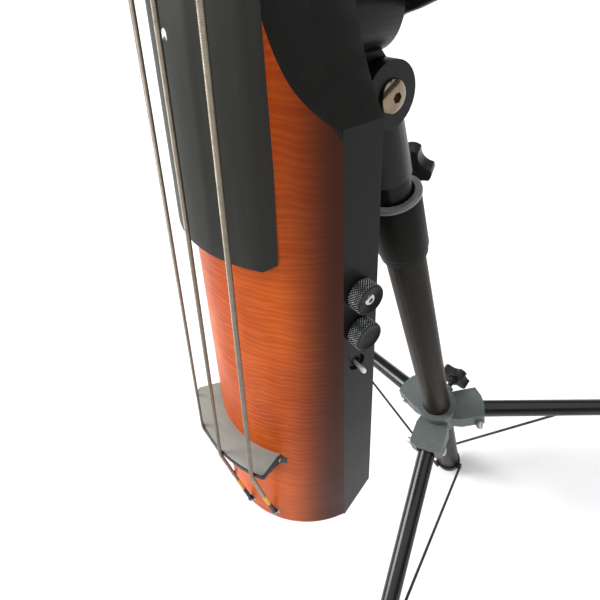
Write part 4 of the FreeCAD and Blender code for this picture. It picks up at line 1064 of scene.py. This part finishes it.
@dataclass
class Tuners:
    """Open-geared tuners: toothed wheel, threaded worm and a cloverleaf key each."""

    finishes: Finishes
    head: Space
    teeth: int = 20
    gear_radius: float = 9.5
    post_radius: float = 5.0
    gear_y: float = 24.0
    worm_radius: float = 4.0
    drop: float = 14.0
    thread: float = 2.8
    key_out: float = 52.0
    worm_half: float = 7.0

    def post(self, key: str, radius: float) -> None:
        """String post with its flared top, wraps and gear wheel."""
        x, z = POSTS[key]
        r = self.post_radius
        profile = [(0, 0), (r - 0.4, 0), (r + 0.8, 0.5), (r + 0.8, 2.2), (r, 3.4), (r, 10.2)]
        profile += [(r - 0.7, 12), (r - 0.7, 17), (r, 18.6), (r, 48.0), (0, 48.0)]
        shape = Shape.lathe(profile, 48)
        wheel = Shape.lathe([(0, 48.0), (self.gear_radius, 48.0), (self.gear_radius, 53.0), (3.4, 53.0),
                             (3.0, 52.2), (1.2, 52.2), (0.9, 53.0), (0, 53.0)], self.teeth * 8,
                            ripple=self.tooth)
        shape.add(wheel, 1)
        for turn in range(3):
            level = 19.0 - 2.0 * radius * (turn + 0.6)
            ring = [(r - 0.1 + radius + radius * 0.8 * math.cos(t), level + radius * 0.8 * math.sin(t))
                    for t in (2 * math.pi * k / 12 for k in range(12))]
            shape.add(Shape.lathe(ring, 40, closed=True), 2)
        make_piece("post_%s_turned" % key, shape, self.head.placed((x, -24.0, z), (0, 1, 0)),
                   "tuner_post_" + key, [self.finishes.of(Shade.GUNMETAL), self.finishes.of(Shade.BRASS),
                                         self.finishes.wound], ["tuner_post_" + key])

    def tooth(self, radius: float, angle: float, height: float) -> float:
        """Radius of the toothed rim."""
        if radius < self.gear_radius - 0.01:
            return radius
        wave = math.cos(self.teeth * angle)
        return radius - 0.55 + 0.55 * max(-1.0, min(1.0, 1.8 * wave))

    def worm_thread(self, radius: float, angle: float, height: float) -> float:
        """Radius of the helical thread."""
        if radius < self.worm_radius - 0.01:
            return radius
        wave = math.cos(2 * math.pi * height / self.thread - angle)
        return radius - 0.5 + 0.5 * max(-1.0, min(1.0, 1.6 * wave))

    def leaf(self) -> Shape:
        """Cloverleaf key, thick in the middle and thin at its rim."""
        def rim(angle: float) -> tuple[float, float]:
            lobes = 1 + 0.13 * math.cos(3 * angle)
            return 12.2 * lobes * math.sin(angle), 9.6 - 11.4 * lobes * math.cos(angle)

        outline = [rim(2 * math.pi * k / 72) for k in range(72)]
        crown = ((0.55, 1.8), (0.86, 1.5), (0.97, 0.9), (1.0, 0.0))
        stack = [(s, -t) for s, t in crown] + [(s, t) for s, t in reversed(crown[:-1])]
        loops = [[(px * s, t, 9.6 + (pz - 9.6) * s) for px, pz in outline] for s, t in stack]
        return Shape.loft(loops)

    def key(self, key: str) -> None:
        """Worm, shaft and leaf."""
        x, z = POSTS[key]
        out = 1.0 if x > 0 else -1.0
        reach, start = self.key_out - abs(x), -self.worm_half
        worm = [(0, start), (2.9, start)] + [(self.worm_radius, start + 0.2 + 13.6 * k / 90)
                                             for k in range(91)]
        worm += [(3.0, 7.0), (3.0, 8.2)]
        shaft = [(3.0, reach - 6), (3.9, reach - 5), (3.9, reach - 1.5), (3.0, reach - 0.5),
                 (2.6, reach + 3), (0, reach + 3)]
        shape = Shape.lathe(worm + shaft, 40, ripple=self.worm_thread)
        shape.add(self.leaf(), 1, Matrix.Translation((0, 0, reach)))
        place = self.head.placed((x, self.gear_y + 2.5, z - self.drop), (out, 0, 0))
        make_piece("key_%s_leaf" % key, shape, place, "tuner_key_" + key,
                   [self.finishes.of(Shade.GUNMETAL), self.finishes.of(Shade.GUNMETAL)],
                   ["tuner_key_" + key])

    def build(self) -> None:
        """Make four posts and four keys."""
        for key, radius in Strings.radii:
            self.post(key, radius)
            self.key(key)


# ------------------------------------------------------------------ stand
@dataclass
class ClampHead:
    """Tilt bolt and the lobed clamping lever behind the barrel."""

    finishes: Finishes
    bass: Space
    stand: Space
    housing_z: float = 334.0
    housing_rear: float = 75.0
    lever_rise: float = 24.0
    cheek_out: float = 17.1
    dome_radius: float = 9.2
    socket_radius: float = 3.0

    def lever(self) -> None:
        """Washer, boss and a thick handle that swells towards its end."""
        boss = Shape.lathe([(5.2, 0.0), (14.5, 0.0), (14.5, 1.6), (13.9, 2.0), (12.2, 2.1), (12.2, 11.4),
                            (11.2, 13.6), (9.6, 15.0), (6.4, 15.5), (5.2, 15.5)], 72, closed=True)
        shape = Shape().add(boss, 0, self.local_boss())
        rings = []
        for run, wide, thick in ((0, 9.6, 4.6), (10, 10.2, 4.6), (20, 11.4, 4.4), (32, 12.0, 4.2),
                                 (44, 12.0, 4.5), (54, 10.6, 4.6), (60, 7.6, 4.0), (62, 3.2, 2.2)):
            ring = []
            for k in range(36):
                t = 2 * math.pi * k / 36
                c, s = math.cos(t), math.sin(t)
                ring.append((wide * math.copysign(abs(c) ** 0.6, c),
                             3.4 + thick * math.copysign(abs(s) ** 0.6, s), run))
            rings.append(ring)
        blade = Shape.loft(rings)
        turn = Matrix.Rotation(math.radians(90 - self.lever_rise), 4, "Y")
        shape.add(blade, 1, Matrix.Translation((0, self.housing_rear + 6.0, self.housing_z)) @ turn)
        make_piece("lever_handle", shape, self.bass, "clamp_lever",
                   [self.finishes.of(Shade.STEEL), self.finishes.of(Shade.DARK_NYLON)],
                   ["clamp_lever"])

    def local_boss(self) -> Matrix:
        """Where the lever's boss stands, in the instrument's frame."""
        turn = Vector((0, 0, 1)).rotation_difference(Vector((0, 1, 0))).to_matrix().to_4x4()
        return Matrix.Translation((0, self.housing_rear + 0.6, self.housing_z)) @ turn

    def bolt(self) -> None:
        """Domed bolt with a hexagonal socket, and its shank."""
        face, dome = self.cheek_out, self.dome_radius
        profile = [(0, -23.0 - face), (3.4, -23.0 - face), (4.0, -22.4 - face), (4.0, 0.0), (dome - 0.2, 0.0),
                   (dome, 0.3)]
        profile += [(dome * math.cos(t), 0.5 + 3.7 * math.sin(t)) for t in
                    (math.radians(90) * k / 14 for k in range(1, 14))]
        profile += [(0, 4.2)]
        shape = Shape.lathe(profile, 72)
        place = self.stand.placed((face, 0, TILT_PIVOT_T), (1, 0, 0))
        piece = make_piece("dome_bolt", shape, place, "knuckle", [self.finishes.of(Shade.BRONZED)],
                           ["tilt_bolt"])
        hexagon = [(self.socket_radius * math.cos(t), self.socket_radius * math.sin(t))
                   for t in (math.radians(60 * k + 12) for k in range(6))]
        socket = Shape.loft([[(x, y, h) for x, y in hexagon] for h in (1.4, 6.0)])
        cut_away(piece, socket, place)

    def build(self) -> None:
        """Make the lever and the bolt."""
        self.lever()
        self.bolt()


@dataclass
class LegHardware:
    """Acorn nuts, bolt heads and ribbed rubber feet."""

    finishes: Finishes
    stand: Space
    pivot_reach: float = 44.0
    pivot_t: float = -133.0
    arm_half: float = 19.0
    slope: float = 22.0
    leg_length: float = 467.82
    foot_radius: float = 13.0

    def spoke(self, azimuth: float) -> tuple[Vector, Vector]:
        """Outward direction of a leg and the middle of its pivot."""
        a = math.radians(azimuth)
        out = Vector((math.cos(a), math.sin(a), 0))
        return out, out * self.pivot_reach + Vector((0, 0, self.pivot_t))

    def bolts(self) -> None:
        """Three bolts, each with a domed head and an acorn nut."""
        shape, local = Shape(), Space(Matrix.Identity(4))
        half = self.arm_half + 0.05
        for azimuth in LEG_AZIMUTHS.values():
            out, mid = self.spoke(azimuth)
            side = Vector((-out.y, out.x, 0))
            head = Shape.lathe([(0, -2 * half), (3, -2 * half), (3, 0), (5.0, 0), (5.0, 0.9), (4.2, 2.0),
                                (2.4, 2.6), (0, 2.6)], 40)
            shape.add(head, 0, local.placed(tuple(mid + side * half), tuple(side)).matrix)
            nut = Shape.lathe([(0, 0), (5.2, 0), (5.2, 3.2), (4.4, 3.7), (3.9, 4.6), (3.7, 6.2), (2.7, 7.6),
                               (1.2, 8.2), (0, 8.3)], 48, ripple=self.flats)
            shape.add(nut, 0, local.placed(tuple(mid - side * half), tuple(-side)).matrix)
        make_piece("acorn_nuts", shape, self.stand, "hub", [self.finishes.of(Shade.ZINC)],
                   ["leg_bolts"])

    def flats(self, radius: float, angle: float, height: float) -> float:
        """Hexagonal flats on the wide part of a nut."""
        if radius < 5.1:
            return radius
        turn = (angle + math.pi / 6) % (math.pi / 3) - math.pi / 6
        return min(radius, 4.6 / math.cos(turn))

    def feet(self) -> None:
        """Three ribbed feet with rounded ends."""
        for name, azimuth in LEG_AZIMUTHS.items():
            out, mid = self.spoke(azimuth)
            s = math.radians(self.slope)
            down = out * math.cos(s) - Vector((0, 0, math.sin(s)))
            end = mid + down * self.leg_length
            r = self.foot_radius
            profile = [(10.5, -24.0), (r - 1.4, -24.0), (r - 0.6, -23.2)]
            for rib in range(4):
                base = -21.5 + rib * 4.6
                profile += [(r - 0.1, base), (r, base + 0.6), (r, base + 2.4), (r - 0.1, base + 3.0),
                            (r - 0.9, base + 3.5), (r - 0.9, base + 4.1)]
            profile += [(r * math.cos(t), 2.0 + r * math.sin(t)) for t in
                        (math.radians(90) * k / 12 for k in range(0, 12))]
            profile += [(0, 2.0 + r)]
            shape = Shape.lathe(profile + [(0, -20.0), (10.5, -20.0)], 56, closed=True)
            make_piece("foot_%s_ribbed" % name, shape, self.stand.placed(tuple(end), tuple(down)),
                       "leg_" + name, [self.finishes.of(Shade.RUBBER)], ["foot_" + name])

    def build(self) -> None:
        """Make the bolts and feet."""
        self.bolts()
        self.feet()


# ------------------------------------------------------------------ room
@dataclass
class Studio:
    """Pale floor, soft lights and the camera."""

    stand: Space
    camera_at: Point = (196.3, -153.9, 435.8)
    heading: float = 162.9
    dip: float = -47.38
    roll: float = -27.75
    lens: float = 26.87
    sky_strength: float = 0.16
    floor_half: float = 60.0

    def floor(self) -> None:
        """A wide pale floor under the feet."""
        half = self.floor_half
        mesh = bpy.data.meshes.new("floor")
        mesh.from_pydata([(-half, -half, 0), (half, -half, 0), (half, half, 0), (-half, half, 0)], [],
                         [(0, 1, 2, 3)])
        floor = bpy.data.objects.new("floor", mesh)
        bpy.context.scene.collection.objects.link(floor)
        g = Graph("pale_floor")
        tone = g.noise(g.coords(), 1.5, 2.0)
        colour = g.blend(tone, (0.86, 0.86, 0.875), (0.89, 0.89, 0.90))
        mesh.materials.append(g.dress(Base_Color=colour, Roughness=0.75, Specular_IOR_Level=0.2))

    def sun(self, name: str, come_from: Point, spread: float, power: float) -> None:
        """One even soft light from a direction.

        Args:
            name: its name.
            come_from: where it stands, seen from the object.
            spread: its apparent size in degrees.
            power: its strength.
        """
        data = bpy.data.lights.new(name, "SUN")
        data.energy, data.angle = power, math.radians(spread)
        lamp = bpy.data.objects.new(name, data)
        bpy.context.scene.collection.objects.link(lamp)
        lamp.rotation_euler = (-Vector(come_from)).to_track_quat("-Z", "Y").to_euler()

    def lights(self) -> None:
        """Even sky, a soft key from the playing side and a weaker one from above."""
        world = bpy.data.worlds.new("sky")
        world.use_nodes = True
        sky = world.node_tree.nodes["Background"]
        sky.inputs["Color"].default_value = (1.0, 1.0, 1.0, 1.0)
        sky.inputs["Strength"].default_value = self.sky_strength
        bpy.context.scene.world = world
        bpy.context.scene.view_settings.view_transform = "Standard"
        self.sun("key", (-0.72, -0.55, 0.62), 34, 3.9)
        self.sun("top", (0.05, 0.12, 1.0), 100, 2.3)

    def camera(self) -> None:
        """The camera, which leans over the lower half from the control side."""
        heading, dip = math.radians(self.heading), math.radians(self.dip)
        ahead = Vector((math.cos(dip) * math.cos(heading), math.cos(dip) * math.sin(heading),
                        math.sin(dip)))
        level = ahead.cross(Vector((0, 0, 1))).normalized()
        up = level.cross(ahead)
        turn = math.radians(self.roll)
        right = level * math.cos(turn) + up * math.sin(turn)
        data = bpy.data.cameras.new("camera")
        data.sensor_width, data.lens, data.clip_start = 36.0, self.lens, 0.01
        camera = bpy.data.objects.new("camera", data)
        bpy.context.scene.collection.objects.link(camera)
        camera.matrix_world = (Matrix.Translation(self.stand.at(*self.camera_at))
                               @ Matrix((right, right.cross(ahead), -ahead)).transposed().to_4x4())
        bpy.context.scene.camera = camera

    def build(self) -> None:
        """Set up the room."""
        self.camera()
        self.floor()
        self.lights()


class Plain(Enum):
    """Design nodes that keep their shape: finish, rounding in millimetres."""

    body_core = (Shade.BODY, 0.5)
    fingerboard = (Shade.EBONY, 1.1)
    position_dots = (Shade.PEARL, 0.0)
    string_ferrules = (Shade.GUNMETAL, 0.25)
    neck = (Shade.BODY, 1.2)
    truss_rod = (Shade.ZINC, 0.0)
    nut = (Shade.BONE, 0.6)
    piezo_elements = (Shade.CERAMIC, 0.0)
    volume_pot = (Shade.ZINC, 0.2)
    tone_pot = (Shade.ZINC, 0.2)
    toggle_switch = (Shade.DARK_NYLON, 0.2)
    output_jack = (Shade.CHROME, 0.4)
    preamp_board = (Shade.BOARD, 0.0)
    control_cover = (Shade.DARK_NYLON, 0.5)
    cover_screws = (Shade.GUNMETAL, 0.35)
    mount_plate = (Shade.ARM, 0.8)
    mount_screws = (Shade.ZINC, 0.4)
    tuner_plates = (Shade.BRASS, 0.5)
    clamp_housing = (Shade.ARM, 1.6)
    knuckle_socket = (Shade.ARM, 2.2)
    tilt_nut = (Shade.ZINC, 0.5)
    mast_tube = (Shade.ARM, 0.5)
    column_tube = (Shade.TUBE, 0.4)
    column_plug = (Shade.DARK_NYLON, 0.4)
    column_collar = (Shade.COLLAR, 1.2)
    collar_ring = (Shade.RING, 0.5)
    collar_knob = (Shade.DARK_NYLON, 1.8)
    hub = (Shade.NYLON, 1.6)
    hub_knob = (Shade.DARK_NYLON, 1.8)
    brace_spider = (Shade.TUBE, 0.5)
    leg_right = (Shade.LEG, 0.5)
    leg_front = (Shade.LEG, 0.5)
    leg_left = (Shade.LEG, 0.5)
    brace_right = (Shade.BRACE, 0.3)
    brace_front = (Shade.BRACE, 0.3)
    brace_left = (Shade.BRACE, 0.3)


def main() -> None:
    """Build every sub-assembly in order."""
    logging.basicConfig(level=logging.INFO, format="%(name)s: %(message)s")
    bass, stand, head = instrument_space(), stand_space(), headstock_space()
    Studio(stand).build()
    finishes = Finishes(bass)
    dresser = NodeDresser(finishes)
    for name, plain in Plain.__members__.items():
        dresser.dress(name, *plain.value)
    ArchedTop(finishes, bass).build()
    bridge = Bridge(finishes, bass)
    bridge.build()
    Strings(finishes, bass, head, bridge).build()
    Controls(finishes, bass).build()
    Tuners(finishes, head).build()
    ClampHead(finishes, bass, stand).build()
    LegHardware(finishes, stand).build()


if __name__ == "__main__":
    main()
